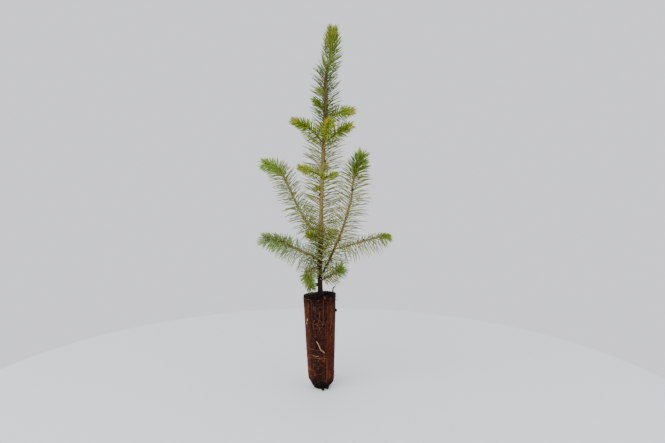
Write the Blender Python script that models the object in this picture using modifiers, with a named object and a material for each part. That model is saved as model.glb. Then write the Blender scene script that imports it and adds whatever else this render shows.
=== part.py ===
"""Norway spruce seedling, 42 cm tall, standing on the root plug of a nursery cell.

Every limb grows from a few named sizes. Its legs say how far it runs, how steeply it rises and
which way it heads, and its needles stand round it by the golden angle. Headings are seen from
above: 0 points along +X and 90 along +Y. The origin is the centre of the plug's flat underside.
"""

import math
from collections import namedtuple

import bmesh
import bpy
import numpy as np
from mathutils import Matrix, Vector

MM = 0.001
CLEAR = 0.3 * MM  # gap between neighbouring solids
WELD = 0.001 * MM
GOLDEN_ANGLE = 137.508
SEED = 11

# Root plug: a tapered cell of peat with a chamfered foot and the marks of six side slits
PLUG_HEIGHT = 110 * MM
PLUG_TOP_RADIUS = 19.2 * MM
PLUG_LOW_RADIUS = 15.2 * MM
PLUG_CHAMFER_HEIGHT = 11.5 * MM
PLUG_FOOT_RADIUS = 8.8 * MM
PLUG_RIM_ROUNDING = 1.4 * MM
PLUG_RIM_TURNS = (90, 60, 30, 0)  # angles of the points round the rim
PLUG_LEAN = -2.0 * MM  # how far the top stands to one side of the foot
PLUG_FACETS = 36
SLIT_COUNT = 6
SLIT_FIRST_HEADING = 50
SLIT_RADIUS = 0.9 * MM
SLIT_DEPTH = 0.6 * MM
SLIT_LOW = 5.5 * MM
SLIT_BEVEL = 2  # eight sides

# Trunk: from a flat cut on the plug's top to the leader's tip
TRUNK_FOOT = Vector((-1.1 * MM, 0, PLUG_HEIGHT + CLEAR))
TRUNK_LEGS = [
    (39, 89.3, 185),
    (31, 87.0, 350),
    (42, 89.4, 20),
    (58, 87.6, 355),
    (46, 87.3, 5),
    (39, 88.6, 350),
    (19, 76.5, 0),
    (14, 83.5, 10),
    (17, 86.0, 350),
]
TRUNK_TAPER = [  # (distance up the trunk, radius) in mm, flared at the root collar
    (0, 4.0),
    (2.5, 3.4),
    (8, 3.0),
    (40, 2.6),
    (70, 2.3),
    (112, 1.95),
    (170, 1.85),
    (216, 1.75),
    (250, 1.6),
    (262, 1.35),
    (273, 1.2),
    (301, 0.75),
    (305, 0.5),
]
TRUNK_RING_SPACING = 10 * MM
TRUNK_BEVEL = 2  # eight sides

# Boughs, twigs and needles
ROUTE_STEP = 1 * MM  # between the points of a limb's route
TWIG_RING_SPACING = 6 * MM
BOUGH_BEVEL = 2
TWIG_BEVEL = 1  # six sides
COLLAR_SWELLING = 0.25 * MM  # each limb is this much thicker where it leaves its carrier
COLLAR_LENGTH = 1.6 * MM
SLEEVE_WALL = 0.55 * MM  # the thin bark round the trunk that its own needles stand on
NEEDLE_RADIUS = 0.62 * MM
NEEDLE_SIDES = 3
NEEDLE_TILT = 5  # most that a needle's angle strays, in degrees
NEEDLE_FREE_FOOT = 4 * MM  # no needle stands nearer than this to the trunk's axis
NEEDLE_MARGIN = 0.6 * MM  # no needle stands nearer than this to either end of its stretch
NEEDLE_SHORTENING = 0.18  # share of its length that a needle at the foot lacks
NEEDLE_CHECKS = 24  # places along a needle where its room is tested
NEEDLE_ROOM = 0.45 * MM  # from its side to the next node

PEAT_BROWN = "#3a2018"
BARK_OLIVE = "#7a6030"
BOUGH_BROWN = "#4a3119"
OLD_GREEN = "#6f8450"
NEW_GREEN = "#6fa02e"
NEW_YELLOW = "#9aa32f"

# A limb leaves its carrier's axis: the trunk's at a height above the plug's underside, a bough's
# at a distance along it. Its legs are (length, rise, heading), in mm and degrees, and thick holds
# its radius at the foot and at the tip. Its first bare mm are a bough of their own. From there on
# it is a twig with a needle every pitch mm, which stands off the twig by the angles in spread,
# from the foot to the tip. Its needles shorten towards the tip to a share, tip, of their length.
Limb = namedtuple("Limb", "name at legs thick pitch needle spread colour bare carrier tip")
Limb.__new__.__defaults__ = (0, "trunk", 0.6)

LIMBS = [
    Limb(
        "right", 130, thick=(1.5, 0.6), pitch=1.65, needle=25, spread=(78, 40), colour=OLD_GREEN,
        bare=42,
        legs=[(9, 58, 328), (30, 62.5, 331), (24, 66, 341), (36, 73, 347), (26, 83, 355), (27, 70, 346)],
    ),
    Limb(
        "right_fork", 39.8, thick=(0.95, 0.6), pitch=1.7, needle=17, spread=(75, 35), colour=NEW_YELLOW,
        bare=11, carrier="right",
        legs=[(35, 13, 18), (29, 12, 25), (8, 2, 19)],
    ),
    Limb(
        "upper_left", 178.5, thick=(1.25, 0.65), pitch=1.65, needle=21, spread=(60, 40), colour=OLD_GREEN,
        bare=14,
        legs=[(22, 42, 158), (22, 56, 160), (28, 63, 158), (24, 60, 165), (12, 30, 169), (8, 17, 171)],
    ),
    Limb(
        "lower_left", 150, thick=(1.2, 0.65), pitch=1.45, needle=19, spread=(62, 38), colour=OLD_GREEN,
        bare=10,
        legs=[(12, 34, 213), (33, 24, 214), (16, 27, 214), (18, 13, 210)],
    ),
    Limb(
        "low_front", 143.5, thick=(0.85, 0.55), pitch=1.3, needle=14, spread=(60, 35), colour=NEW_GREEN,
        bare=8,
        legs=[(11, -6, 226), (9, -22, 230), (9, -60, 270), (9, -62, 320)],
    ),
    Limb(
        "low_right", 127, thick=(0.8, 0.55), pitch=1.3, needle=14, spread=(60, 35), colour=NEW_GREEN,
        bare=8,
        legs=[(19, 28, 336), (12, 32, 337)],
    ),
    Limb(
        "low_back", 158, thick=(0.95, 0.6), pitch=1.65, needle=15, spread=(62, 38), colour=OLD_GREEN,
        bare=9,
        legs=[(16, 38, 98), (22, 30, 92), (16, 22, 88)],
    ),
    Limb(
        "inner_left", 173, thick=(0.75, 0.55), pitch=1.4, needle=12, spread=(55, 35), colour=NEW_GREEN,
        legs=[(12, 30, 232), (12, 20, 230)],
    ),
    Limb(
        "inner_right", 168, thick=(0.8, 0.55), pitch=1.4, needle=14, spread=(60, 38), colour=OLD_GREEN,
        legs=[(13, 34, 52), (15, 22, 46)],
    ),
    Limb(
        "bud_left", 231, thick=(0.7, 0.5), pitch=0.9, needle=8, spread=(50, 25), colour=NEW_YELLOW,
        legs=[(8, 40, 200)],
    ),
    Limb(
        "middle_left", 249.5, thick=(0.75, 0.55), pitch=1.3, needle=10, spread=(58, 32), colour=NEW_YELLOW,
        legs=[(13, 26, 197), (16, 17, 195)],
    ),
    Limb(
        "middle_right", 246.5, thick=(0.7, 0.5), pitch=1.3, needle=8, spread=(50, 28), colour=NEW_YELLOW,
        legs=[(9, 24, 336), (9, 14, 345)],
    ),
    Limb(
        "middle_front", 244, thick=(0.7, 0.5), pitch=1.3, needle=8, spread=(52, 28), colour=NEW_YELLOW,
        legs=[(7, 34, 275), (8, 26, 270)],
    ),
    Limb(
        "middle_back", 250, thick=(0.75, 0.55), pitch=1.45, needle=12, spread=(58, 34), colour=NEW_YELLOW,
        legs=[(12, 34, 88), (18, 24, 84)],
    ),
    Limb(
        "whorl_left", 287, thick=(0.85, 0.55), pitch=1.3, needle=12, spread=(60, 35), colour=NEW_YELLOW,
        legs=[(16, 48, 205), (16, 34, 202), (14, 18, 199)],
    ),
    Limb(
        "whorl_right", 288, thick=(0.85, 0.55), pitch=1.3, needle=12, spread=(60, 35), colour=NEW_YELLOW,
        legs=[(18, 35, 337), (12, 29, 336), (9, 20, 338)],
    ),
    Limb(
        "whorl_front", 290, thick=(0.8, 0.55), pitch=1.3, needle=11, spread=(58, 33), colour=NEW_YELLOW,
        legs=[(12, 42, 285), (12, 34, 283), (13, 28, 286)],
    ),
    Limb(
        "whorl_back", 291, thick=(0.8, 0.55), pitch=1.45, needle=12, spread=(60, 35), colour=NEW_YELLOW,
        legs=[(13, 44, 92), (14, 32, 96), (12, 20, 92)],
    ),
    Limb(
        "high_right", 315, thick=(0.8, 0.55), pitch=1.3, needle=11, spread=(60, 35), colour=NEW_YELLOW,
        legs=[(14, 30, 28), (13, 18, 27), (12, 11, 24)],
    ),
    Limb(
        "tuft_left", 325, thick=(0.65, 0.5), pitch=1.2, needle=9, spread=(50, 28), colour=NEW_GREEN,
        legs=[(10, 38, 215), (8, 34, 212)],
    ),
    Limb(
        "tuft_high", 342, thick=(0.6, 0.5), pitch=1.0, needle=8, spread=(50, 28), colour=NEW_YELLOW,
        legs=[(6, 45, 190), (4, 40, 185)],
    ),
]  # fmt: skip

# Stretches of the trunk, between two heights in mm, that carry needles of their own
Stretch = namedtuple("Stretch", "name low high pitch needle spread colour tip")
Stretch.__new__.__defaults__ = (0.82,)

STRETCHES = [
    Stretch("trunk_low", 139, 183, pitch=2.2, needle=20, spread=(74, 70), colour=OLD_GREEN),
    Stretch("trunk_middle", 186, 243, pitch=1.65, needle=30, spread=(74, 68), colour=OLD_GREEN),
    Stretch("trunk_upper", 257, 284, pitch=1.65, needle=29, spread=(72, 66), colour=OLD_GREEN),
    Stretch("trunk_neck", 299, 313, pitch=1.7, needle=22, spread=(66, 62), colour=OLD_GREEN),
    Stretch("leader_foot", 322, 365, pitch=1.25, needle=22, spread=(62, 52), colour=NEW_YELLOW),
    Stretch(
        "leader_tip", 365.5, 409.5, pitch=0.95, needle=19, spread=(50, 26), colour=NEW_YELLOW, tip=0.75
    ),
]

# A mass of needles still to be grown: its bare solid, the stretch of a route that its needles
# stand on, the nodes that they may touch, and the cutters that its solid is then cut by
Mass = namedtuple("Mass", "solid route first last plan touching gaps")


def unit_vector(rise, heading):
    """Unit vector that rises and heads by these angles, in degrees."""
    level = math.cos(math.radians(rise))
    across = level * math.cos(math.radians(heading))
    away = level * math.sin(math.radians(heading))
    return Vector((across, away, math.sin(math.radians(rise))))


def smooth_route(start, legs):
    """Points along a smooth curve that starts here and passes through the end of each leg."""
    knots = [start]
    for length, rise, heading in legs:
        knots.append(knots[-1] + unit_vector(rise, heading) * (length * MM))
    ends = [2 * knots[0] - knots[1], *knots, 2 * knots[-1] - knots[-2]]
    route = [knots[0]]
    for before, first, second, after in zip(ends, ends[1:], ends[2:], ends[3:]):
        count = max(1, round((second - first).length / ROUTE_STEP))
        for i in range(1, count + 1):
            t = i / count
            straight = 2 * first + (second - before) * t
            bend = (2 * before - 5 * first + 4 * second - after) * t**2
            twist = (3 * first - before - 3 * second + after) * t**3
            route.append((straight + bend + twist) / 2)
    return np.array(route)


def distances(route):
    """Distance along a route to each of its points."""
    steps = np.linalg.norm(np.diff(route, axis=0), axis=1)
    return np.concatenate([[0.0], np.cumsum(steps)])


def point_on(route, distance):
    """Place and direction of a route at a distance along it."""
    along = distances(route)
    place = [np.interp(distance, along, route[:, axis]) for axis in range(3)]
    after = int(np.clip(np.searchsorted(along, distance), 1, len(route) - 1))
    return Vector(place), Vector(route[after] - route[after - 1]).normalized()


def rings_between(start, end):
    """Distances from start to end for a twig's rings, evenly spaced."""
    count = max(2, round((end - start) / TWIG_RING_SPACING) + 1)
    return np.linspace(start, end, count)


def trunk_rings(length):
    """Distances up the trunk for its rings: evenly spaced, and wherever its taper changes."""
    changes = {up * MM for up, _ in TRUNK_TAPER if up * MM < length}
    even = np.arange(2 * TRUNK_RING_SPACING, length - TRUNK_RING_SPACING / 2, TRUNK_RING_SPACING)
    apart = {d for d in even if all(abs(d - c) > TRUNK_RING_SPACING / 3 for c in changes)}
    return sorted(changes | apart | {length})


def trunk_radius(distance):
    """Radius of the trunk at a distance up it."""
    up, radius = zip(*TRUNK_TAPER)
    return float(np.interp(distance / MM, up, radius)) * MM


def limb_radius(limb, distance):
    """Radius of a limb, which tapers evenly above a small collar at its foot."""
    length = sum(leg[0] for leg in limb.legs) * MM
    foot, tip = (value * MM for value in limb.thick)
    taper = foot + (tip - foot) * min(1.0, distance / length)
    return taper + COLLAR_SWELLING * math.exp(-distance / COLLAR_LENGTH)


def new_material(name, colour, roughness):
    """Material of one colour, given as an sRGB hex value."""
    channels = [int(colour[i : i + 2], 16) / 255 for i in (1, 3, 5)]
    linear = [c / 12.92 if c <= 0.04045 else ((c + 0.055) / 1.055) ** 2.4 for c in channels]
    material = bpy.data.materials.new(name)
    material.use_nodes = True
    shader = material.node_tree.nodes["Principled BSDF"]
    shader.inputs["Base Color"].default_value = (*linear, 1.0)
    shader.inputs["Roughness"].default_value = roughness
    shader.inputs["Metallic"].default_value = 0.0
    material.diffuse_color = (*linear, 1.0)
    return material


def new_collection(name, parent=None):
    """New collection, in the scene or in another collection."""
    collection = bpy.data.collections.new(name)
    (parent or bpy.context.scene.collection).children.link(collection)
    return collection


def settle(thing):
    """Replace an object's mesh by the one that its modifiers make."""
    bpy.context.view_layer.update()
    evaluated = thing.evaluated_get(bpy.context.evaluated_depsgraph_get())
    mesh = bpy.data.meshes.new_from_object(evaluated)
    mesh.name = thing.name
    thing.modifiers.clear()
    thing.data = mesh


def weld(mesh):
    """Join the caps of a rod, or the seam of a turned shape, and turn every face outwards."""
    work = bmesh.new()
    work.from_mesh(mesh)
    bmesh.ops.remove_doubles(work, verts=work.verts, dist=WELD)
    bmesh.ops.recalc_face_normals(work, faces=work.faces)
    work.to_mesh(mesh)
    work.free()


def rod(name, route, radii, bevel, collection):
    """Closed round rod along a route, with a radius at each of its points."""
    curve = bpy.data.curves.new(name, "CURVE")
    curve.dimensions = "3D"
    curve.bevel_depth = 1.0  # so that each point's radius is in metres
    curve.bevel_resolution = bevel
    curve.render_resolution_u = 0
    curve.use_fill_caps = True
    spline = curve.splines.new("POLY")
    spline.points.add(len(route) - 1)
    for point, place, radius in zip(spline.points, route, radii):
        point.co = (*place, 1.0)
        point.radius = radius
    guide = bpy.data.objects.new(name + "_curve", curve)
    collection.objects.link(guide)
    bpy.context.view_layer.update()
    evaluated = guide.evaluated_get(bpy.context.evaluated_depsgraph_get())
    thing = bpy.data.objects.new(name, bpy.data.meshes.new_from_object(evaluated))
    thing.matrix_world = guide.matrix_world
    collection.objects.link(thing)
    bpy.data.objects.remove(guide)
    weld(thing.data)
    return thing


def rod_on(name, route, rings, radii, bevel, collection):
    """Closed rod along a route, with its rings at these distances."""
    places = [point_on(route, ring)[0] for ring in rings]
    return rod(name, places, radii, bevel, collection)


def make_cutter(name, route, rings, radii, collection):
    """Wire guide in the shape of a limb with the gap added, which cuts its neighbours clear."""
    grown = [radius + CLEAR for radius in radii]
    cutter = rod_on(name, route, rings, grown, BOUGH_BEVEL, collection)
    cutter.hide_render = True
    cutter.display_type = "WIRE"
    return cutter


def volume_of(mesh):
    """Volume inside a mesh, or zero if it isn't closed."""
    work = bmesh.new()
    work.from_mesh(mesh)
    closed = all(edge.is_manifold for edge in work.edges)
    volume = work.calc_volume(signed=True) if closed else 0.0
    work.free()
    return volume


def keep_main_body(mesh):
    """Drop loose scraps, and fill sealed hollows, by keeping only the largest skin."""
    work = bmesh.new()
    work.from_mesh(mesh)
    left = set(work.faces)
    skins = []
    while left:
        skin = []
        fresh = [left.pop()]
        while fresh:
            face = fresh.pop()
            skin.append(face)
            beside = {other for edge in face.edges for other in edge.link_faces} & left
            left -= beside
            fresh += beside
        skins.append(skin)
    skins.sort(key=lambda skin: sum(face.calc_area() for face in skin))
    scraps = [face for skin in skins[:-1] for face in skin]
    bmesh.ops.delete(work, geom=scraps, context="FACES")
    work.to_mesh(mesh)
    work.free()


def combine(thing, operation, other):
    """Apply a Boolean with an object or a collection, by the first solver whose result is sound."""
    before = thing.data.copy()
    size = volume_of(before)
    least, most = (size, 20 * size) if operation == "UNION" else (0.05 * size, size)
    for solver in ("EXACT", "MANIFOLD"):
        thing.data = before.copy()
        step = thing.modifiers.new(operation.lower(), "BOOLEAN")
        step.operation = operation
        step.solver = solver
        if isinstance(other, bpy.types.Collection):
            step.operand_type = "COLLECTION"
            step.collection = other
        else:
            step.object = other
        settle(thing)
        keep_main_body(thing.data)
        if least < volume_of(thing.data) < most:
            return
    raise ValueError(f"no sound {operation} of {thing.name} with {other.name}")


def finish(thing, material, sharp_angle):
    """Give an object its material, and smooth shading between its sharp edges."""
    thing.data.materials.clear()
    thing.data.materials.append(material)
    thing.data.shade_smooth()
    thing.data.set_sharp_from_angle(angle=math.radians(sharp_angle))


class Crown:
    """Every limb and needle so far, as tapered lines, so that each node keeps to its own space."""

    def __init__(self):
        self.owners = []
        self.starts = []
        self.ends = []
        self.radii = []

    def add(self, owner, start, end, foot_radius, tip_radius):
        """Note one needle, or one short length of a limb."""
        self.owners.append(owner)
        self.starts.append(tuple(start))
        self.ends.append(tuple(end))
        self.radii.append((foot_radius, tip_radius))

    def add_limb(self, owner, route, rings, radii):
        """Note a limb, ring by ring."""
        places = [point_on(route, ring)[0] for ring in rings]
        for start, end, foot, tip in zip(places, places[1:], radii, radii[1:]):
            self.add(owner, start, end, foot, tip)

    def has_room(self, start, end, touching):
        """True if a needle from start to end clears the plug and every node it may not touch."""
        others = [i for i, owner in enumerate(self.owners) if owner not in touching]
        starts = np.array([self.starts[i] for i in others])
        axes = np.array([self.ends[i] for i in others]) - starts
        radii = np.array([self.radii[i] for i in others])
        share = np.linspace(0, 1, NEEDLE_CHECKS)[:, None]
        places = np.array(start) + share * (np.array(end) - np.array(start))
        offsets = places[:, None] - starts
        along = np.clip((offsets * axes).sum(2) / (axes**2).sum(1), 0, 1)
        gaps = np.linalg.norm(offsets - along[..., None] * axes, axis=2)
        other_sizes = radii[:, 0] + (radii[:, 1] - radii[:, 0]) * along
        sizes = NEEDLE_RADIUS * (1 - share) + other_sizes
        low = places[:, 2] < PLUG_HEIGHT + NEEDLE_ROOM
        inside = np.hypot(places[:, 0] - PLUG_LEAN, places[:, 1]) < PLUG_TOP_RADIUS + NEEDLE_ROOM
        return bool((gaps - sizes > NEEDLE_ROOM).all() and not (low & inside).any())


def make_plug(parts, cutters):
    """Tapered plug with a rounded rim, a chamfered foot and six slit marks down its side."""
    outline = [(0, PLUG_HEIGHT)]
    for turn in PLUG_RIM_TURNS:
        inward = PLUG_RIM_ROUNDING * (1 - math.cos(math.radians(turn)))
        down = PLUG_RIM_ROUNDING * (1 - math.sin(math.radians(turn)))
        outline.append((PLUG_TOP_RADIUS - inward, PLUG_HEIGHT - down))
    outline += [(PLUG_LOW_RADIUS, PLUG_CHAMFER_HEIGHT), (PLUG_FOOT_RADIUS, 0), (0, 0)]
    mesh = bpy.data.meshes.new("root_plug")
    points = [(across, 0, up) for across, up in outline]
    mesh.from_pydata(points, [(i, i + 1) for i in range(len(points) - 1)], [])
    plug = bpy.data.objects.new("root_plug", mesh)
    parts.objects.link(plug)
    turned = plug.modifiers.new("turned", "SCREW")
    turned.steps = PLUG_FACETS
    turned.render_steps = PLUG_FACETS
    turned.use_merge_vertices = True
    turned.merge_threshold = WELD
    settle(plug)
    weld(plug.data)
    slits = new_collection("slits", cutters)
    for i in range(SLIT_COUNT):
        make_slit(i, slits)
    combine(plug, "DIFFERENCE", slits)
    plug.data.transform(Matrix.Shear("XY", 4, (PLUG_LEAN / PLUG_HEIGHT, 0)))
    finish(plug, new_material("peat_and_roots", PEAT_BROWN, 0.95), 30)


def make_slit(index, slits):
    """Cutter for one slit mark, which runs down the plug's tapered side."""
    heading = math.radians(SLIT_FIRST_HEADING + 360 / SLIT_COUNT * index)
    taper = (PLUG_TOP_RADIUS - PLUG_LOW_RADIUS) / (PLUG_HEIGHT - PLUG_CHAMFER_HEIGHT)
    ends = []
    for up in (SLIT_LOW, PLUG_HEIGHT + SLIT_LOW):
        side = PLUG_LOW_RADIUS + taper * (up - PLUG_CHAMFER_HEIGHT)
        out = side + SLIT_RADIUS - SLIT_DEPTH
        ends.append((out * math.cos(heading), out * math.sin(heading), up))
    slit = rod(f"slit_{index + 1}", ends, [SLIT_RADIUS] * 2, SLIT_BEVEL, slits)
    slit.hide_render = True
    slit.display_type = "WIRE"


def make_trunk(parts, cutters, crown):
    """The whole trunk. Returns its route, and the cutter that keeps its neighbours clear."""
    route = smooth_route(TRUNK_FOOT, TRUNK_LEGS)
    rings = trunk_rings(distances(route)[-1])
    radii = [trunk_radius(ring) for ring in rings]
    trunk = rod_on("trunk", route, rings, radii, TRUNK_BEVEL, parts)
    finish(trunk, new_material("trunk_bark", BARK_OLIVE, 0.8), 40)
    crown.add_limb("trunk", route, rings, radii)
    return route, make_cutter("trunk_gap", route, rings, radii, cutters)


def distance_at_height(route, height):
    """Distance along a rising route at which it reaches a height above the plug's underside."""
    return float(np.interp(height, route[:, 2], distances(route)))


def make_limb(limb, carriers, parts, cutters, crown):
    """A limb's bough, if it has one, and its bare twig, which is returned as a mass."""
    carrier_route, carrier_gap = carriers[limb.carrier]
    start = limb.at * MM
    if limb.carrier == "trunk":
        start = distance_at_height(carrier_route, start)
    route = smooth_route(point_on(carrier_route, start)[0], limb.legs)
    length = distances(route)[-1]
    foot = 0.0
    gaps = [carrier_gap]
    if limb.bare:
        rings = rings_between(0, limb.bare * MM)
        radii = [limb_radius(limb, ring) for ring in rings]
        bough = rod_on("bough_" + limb.name, route, rings, radii, BOUGH_BEVEL, parts)
        combine(bough, "DIFFERENCE", carrier_gap)
        finish(bough, new_material("bark_" + limb.name, BOUGH_BROWN, 0.85), 40)
        crown.add_limb(bough.name, route, rings, radii)
        carriers[limb.name] = (
            route,
            make_cutter(bough.name + "_gap", route, rings, radii, cutters),
        )
        foot = limb.bare * MM + CLEAR
        gaps = []
    rings = rings_between(foot, length)
    radii = [limb_radius(limb, ring) for ring in rings]
    twig = rod_on("needles_" + limb.name, route, rings, radii, TWIG_BEVEL, parts)
    crown.add_limb(twig.name, route, rings, radii)
    if not limb.bare:
        make_cutter(twig.name + "_gap", route, rings, radii, cutters)
    first = max(foot, NEEDLE_FREE_FOOT)
    return Mass(twig, route, first, length, limb, {twig.name}, gaps)


def make_sleeve(stretch, trunk_route, trunk_gap, parts, cutters, crown):
    """The thin sleeve that carries one stretch of the trunk's own needles, as a mass."""
    low = distance_at_height(trunk_route, stretch.low * MM)
    high = distance_at_height(trunk_route, stretch.high * MM)
    rings = rings_between(low, high)
    radii = [trunk_radius(ring) + CLEAR + SLEEVE_WALL for ring in rings]
    sleeve = rod_on("needles_" + stretch.name, trunk_route, rings, radii, BOUGH_BEVEL, parts)
    crown.add_limb(sleeve.name, trunk_route, rings, radii)
    gaps = [trunk_gap]
    for limb in LIMBS:
        if limb.carrier == "trunk" and stretch.low <= limb.at <= stretch.high:
            kind = "bough_" if limb.bare else "needles_"
            gaps.append(cutters.objects[kind + limb.name + "_gap"])
    return Mass(sleeve, trunk_route, low, high, stretch, {sleeve.name, "trunk"}, gaps)


def needle_places(mass, crown, seed):
    """Root, direction and length of each of a mass's needles, without those that lack room."""
    plan = mass.plan
    random = np.random.default_rng([SEED, seed])
    first, last = mass.first + NEEDLE_MARGIN, mass.last - NEEDLE_MARGIN
    count = int((last - first) / (plan.pitch * MM))
    turn = random.uniform(0, 360)
    for i in range(count):
        share = (i + random.uniform(0.3, 0.7)) / count
        root, forward = point_on(mass.route, first + share * (last - first))
        off = plan.spread[0] + (plan.spread[1] - plan.spread[0]) * share
        off = math.radians(off + random.uniform(-NEEDLE_TILT, NEEDLE_TILT))
        side = forward.orthogonal().normalized()
        side.rotate(Matrix.Rotation(math.radians(turn + i * GOLDEN_ANGLE), 3, forward))
        direction = forward * math.cos(off) + side * math.sin(off)
        lack = NEEDLE_SHORTENING if share < 0.5 else 1 - plan.tip
        full = 1 - lack * (2 * share - 1) ** 2
        reach = plan.needle * MM * full * random.uniform(0.92, 1.04)
        end = root + direction * reach
        if crown.has_room(root, end, mass.touching):
            crown.add(mass.solid.name, root, end, NEEDLE_RADIUS, 0.0)
            yield root, direction, reach


def needle_mesh():
    """Three-sided spike, one unit long and one in radius, with its root at the origin."""
    mesh = bpy.data.meshes.new("needle")
    work = bmesh.new()
    bmesh.ops.create_cone(
        work, segments=NEEDLE_SIDES, radius1=1.0, radius2=0.0, depth=1.0, cap_ends=True
    )
    bmesh.ops.translate(work, verts=work.verts, vec=(0, 0, 0.5))
    bmesh.ops.remove_doubles(work, verts=work.verts, dist=WELD)
    bmesh.ops.recalc_face_normals(work, faces=work.faces)
    work.to_mesh(mesh)
    work.free()
    return mesh


def grow_needles(mass, spike, crown, seed):
    """Join a mass's needles to its twig or sleeve, then cut it clear of what it grows from."""
    spray = new_collection(mass.solid.name + "_spray")
    for root, direction, reach in needle_places(mass, crown, seed):
        needle = bpy.data.objects.new(mass.solid.name + "_needle", spike)
        turned = direction.to_track_quat("Z", "Y").to_matrix().to_4x4()
        size = Matrix.Diagonal((NEEDLE_RADIUS, NEEDLE_RADIUS, reach, 1.0))
        needle.matrix_world = Matrix.Translation(root) @ turned @ size
        spray.objects.link(needle)
    combine(mass.solid, "UNION", spray)
    for needle in list(spray.objects):
        bpy.data.objects.remove(needle)
    bpy.data.collections.remove(spray)
    for gap in mass.gaps:
        combine(mass.solid, "DIFFERENCE", gap)
    finish(mass.solid, new_material("foliage_" + mass.plan.name, mass.plan.colour, 0.6), 40)


def main():
    """Build the plug and the trunk, then every bough and bare twig, then their needles."""
    for old in list(bpy.data.objects):
        bpy.data.objects.remove(old)
    parts = new_collection("norway_spruce_seedling")
    cutters = new_collection("cutters")
    crown = Crown()
    make_plug(parts, cutters)
    trunk_route, trunk_gap = make_trunk(parts, cutters, crown)
    carriers = {"trunk": (trunk_route, trunk_gap)}
    masses = [make_limb(limb, carriers, parts, cutters, crown) for limb in LIMBS]
    for stretch in STRETCHES:
        masses.append(make_sleeve(stretch, trunk_route, trunk_gap, parts, cutters, crown))
    spike = needle_mesh()
    for seed, mass in enumerate(masses):
        grow_needles(mass, spike, crown, seed)
    bpy.data.meshes.remove(spike)


main()
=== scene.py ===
"""Norway spruce seedling on the root plug of a nursery cell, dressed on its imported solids.

Limbs grow from the same named sizes as the solids. Each leg says how far a limb runs, how steeply
it rises and which way it heads, where 0 is along +X and 90 along +Y, and needles stand round it by
the golden angle. Lengths are in metres unless a name or a comment says mm.
"""

import math
from collections import namedtuple

import bpy
import numpy as np
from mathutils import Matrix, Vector, noise


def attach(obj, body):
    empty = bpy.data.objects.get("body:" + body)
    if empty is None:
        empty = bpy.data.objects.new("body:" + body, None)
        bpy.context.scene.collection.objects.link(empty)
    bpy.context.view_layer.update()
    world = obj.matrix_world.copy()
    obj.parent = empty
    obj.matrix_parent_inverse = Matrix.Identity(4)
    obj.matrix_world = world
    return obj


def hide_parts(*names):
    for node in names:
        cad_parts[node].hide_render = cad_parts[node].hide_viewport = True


bl_info = {
    "name": "Norway spruce seedling",
    "version": (1, 0, 0),
    "blender": (4, 5, 0),
    "location": "3D View > Sidebar > Spruce",
    "description": "Dresses the packed seedling with bark, buds, needles, peat and roots",
    "category": "Object",
}

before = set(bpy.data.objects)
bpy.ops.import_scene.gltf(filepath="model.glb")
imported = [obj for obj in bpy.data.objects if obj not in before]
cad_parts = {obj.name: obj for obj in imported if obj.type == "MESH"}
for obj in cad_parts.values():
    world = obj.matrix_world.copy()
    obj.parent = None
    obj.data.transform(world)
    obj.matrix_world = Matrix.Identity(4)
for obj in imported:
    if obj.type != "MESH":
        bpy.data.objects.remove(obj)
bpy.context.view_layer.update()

MM = 0.001
GOLDEN_ANGLE = math.radians(137.508)
SEED = 11

# Root plug
PLUG_HEIGHT = 110 * MM
PLUG_TOP_RADIUS = 19.2 * MM
PLUG_LOW_RADIUS = 15.2 * MM
PLUG_CHAMFER_HEIGHT = 11.5 * MM
PLUG_FOOT_RADIUS = 8.8 * MM
PLUG_RIM_ROUNDING = 0.6 * MM
PLUG_LEAN = -2.0 * MM  # how far its top stands off along X
PLUG_FACES_ROUND = 180
PLUG_STEP = 0.9 * MM  # between the rings of its faces
PEAT_CRUMB = 2.6 * MM  # size of the crumbs in its side
PEAT_CLOD = 7 * MM  # size of the swellings under them
PEAT_NOISE = (0.75, 2.1, 5)  # fractal increment, lacunarity and octaves
PEAT_MOST_PROUD = 0.45 * MM  # how far its side may stand out
PEAT_TOP_SINK = 0.9 * MM  # how far its top lies below its rim
RIM_LIP = 0.35 * MM
RIM_RISE = 1.3 * MM  # of its middle, with as much again at +X and none at -X
FOOT_FULLNESS = 2.0 * MM  # at +X
SLIT_COUNT = 6
SLIT_FIRST_HEADING = 50
SLIT_WIDTH = 1.5 * MM

# Trunk
TRUNK_FOOT = (-1.1 * MM, 0, PLUG_HEIGHT)
TRUNK_LEGS = [
    (39, 89.3, 185),
    (31, 87.0, 350),
    (42, 89.4, 20),
    (58, 87.6, 355),
    (46, 87.3, 5),
    (39, 88.6, 350),
    (19, 76.5, 0),
    (14, 83.5, 10),
    (17, 86.0, 350),
]
TRUNK_TAPER = [  # (distance up the trunk, radius) in mm, flared at the root collar
    (0, 4.0),
    (2.5, 3.4),
    (8, 3.0),
    (40, 2.6),
    (70, 2.3),
    (112, 1.95),
    (170, 1.85),
    (216, 1.75),
    (250, 1.6),
    (262, 1.35),
    (273, 1.2),
    (301, 0.75),
    (305, 0.5),
]
TRUNK_RINGS = 480
TRUNK_CORNERS = 28

# Boughs and twigs
COLLAR_SWELLING = 0.25 * MM  # how much thicker a limb is where it leaves its carrier
NODE_SWELLING = 0.16  # how much thicker the trunk is there, by the limb's radius
COLLAR_REACH = 1.6 * MM  # along the limb, and along the trunk
TWIG_CORNERS = 14
TWIG_STEP = 0.8 * MM  # between the rings of its faces
TWIG_START = 0.3 * MM  # from its carrier's axis
TWIG_SHORTFALL = 0.6 * MM  # it ends this far inside its bud
FEWEST_RINGS = 12
NEEDLE_FREE_FOOT = 3.2 * MM  # of every limb, from its carrier's axis
FLUSH_PITCH = 0.17  # mm between needles on this year's growth at a tip

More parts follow.
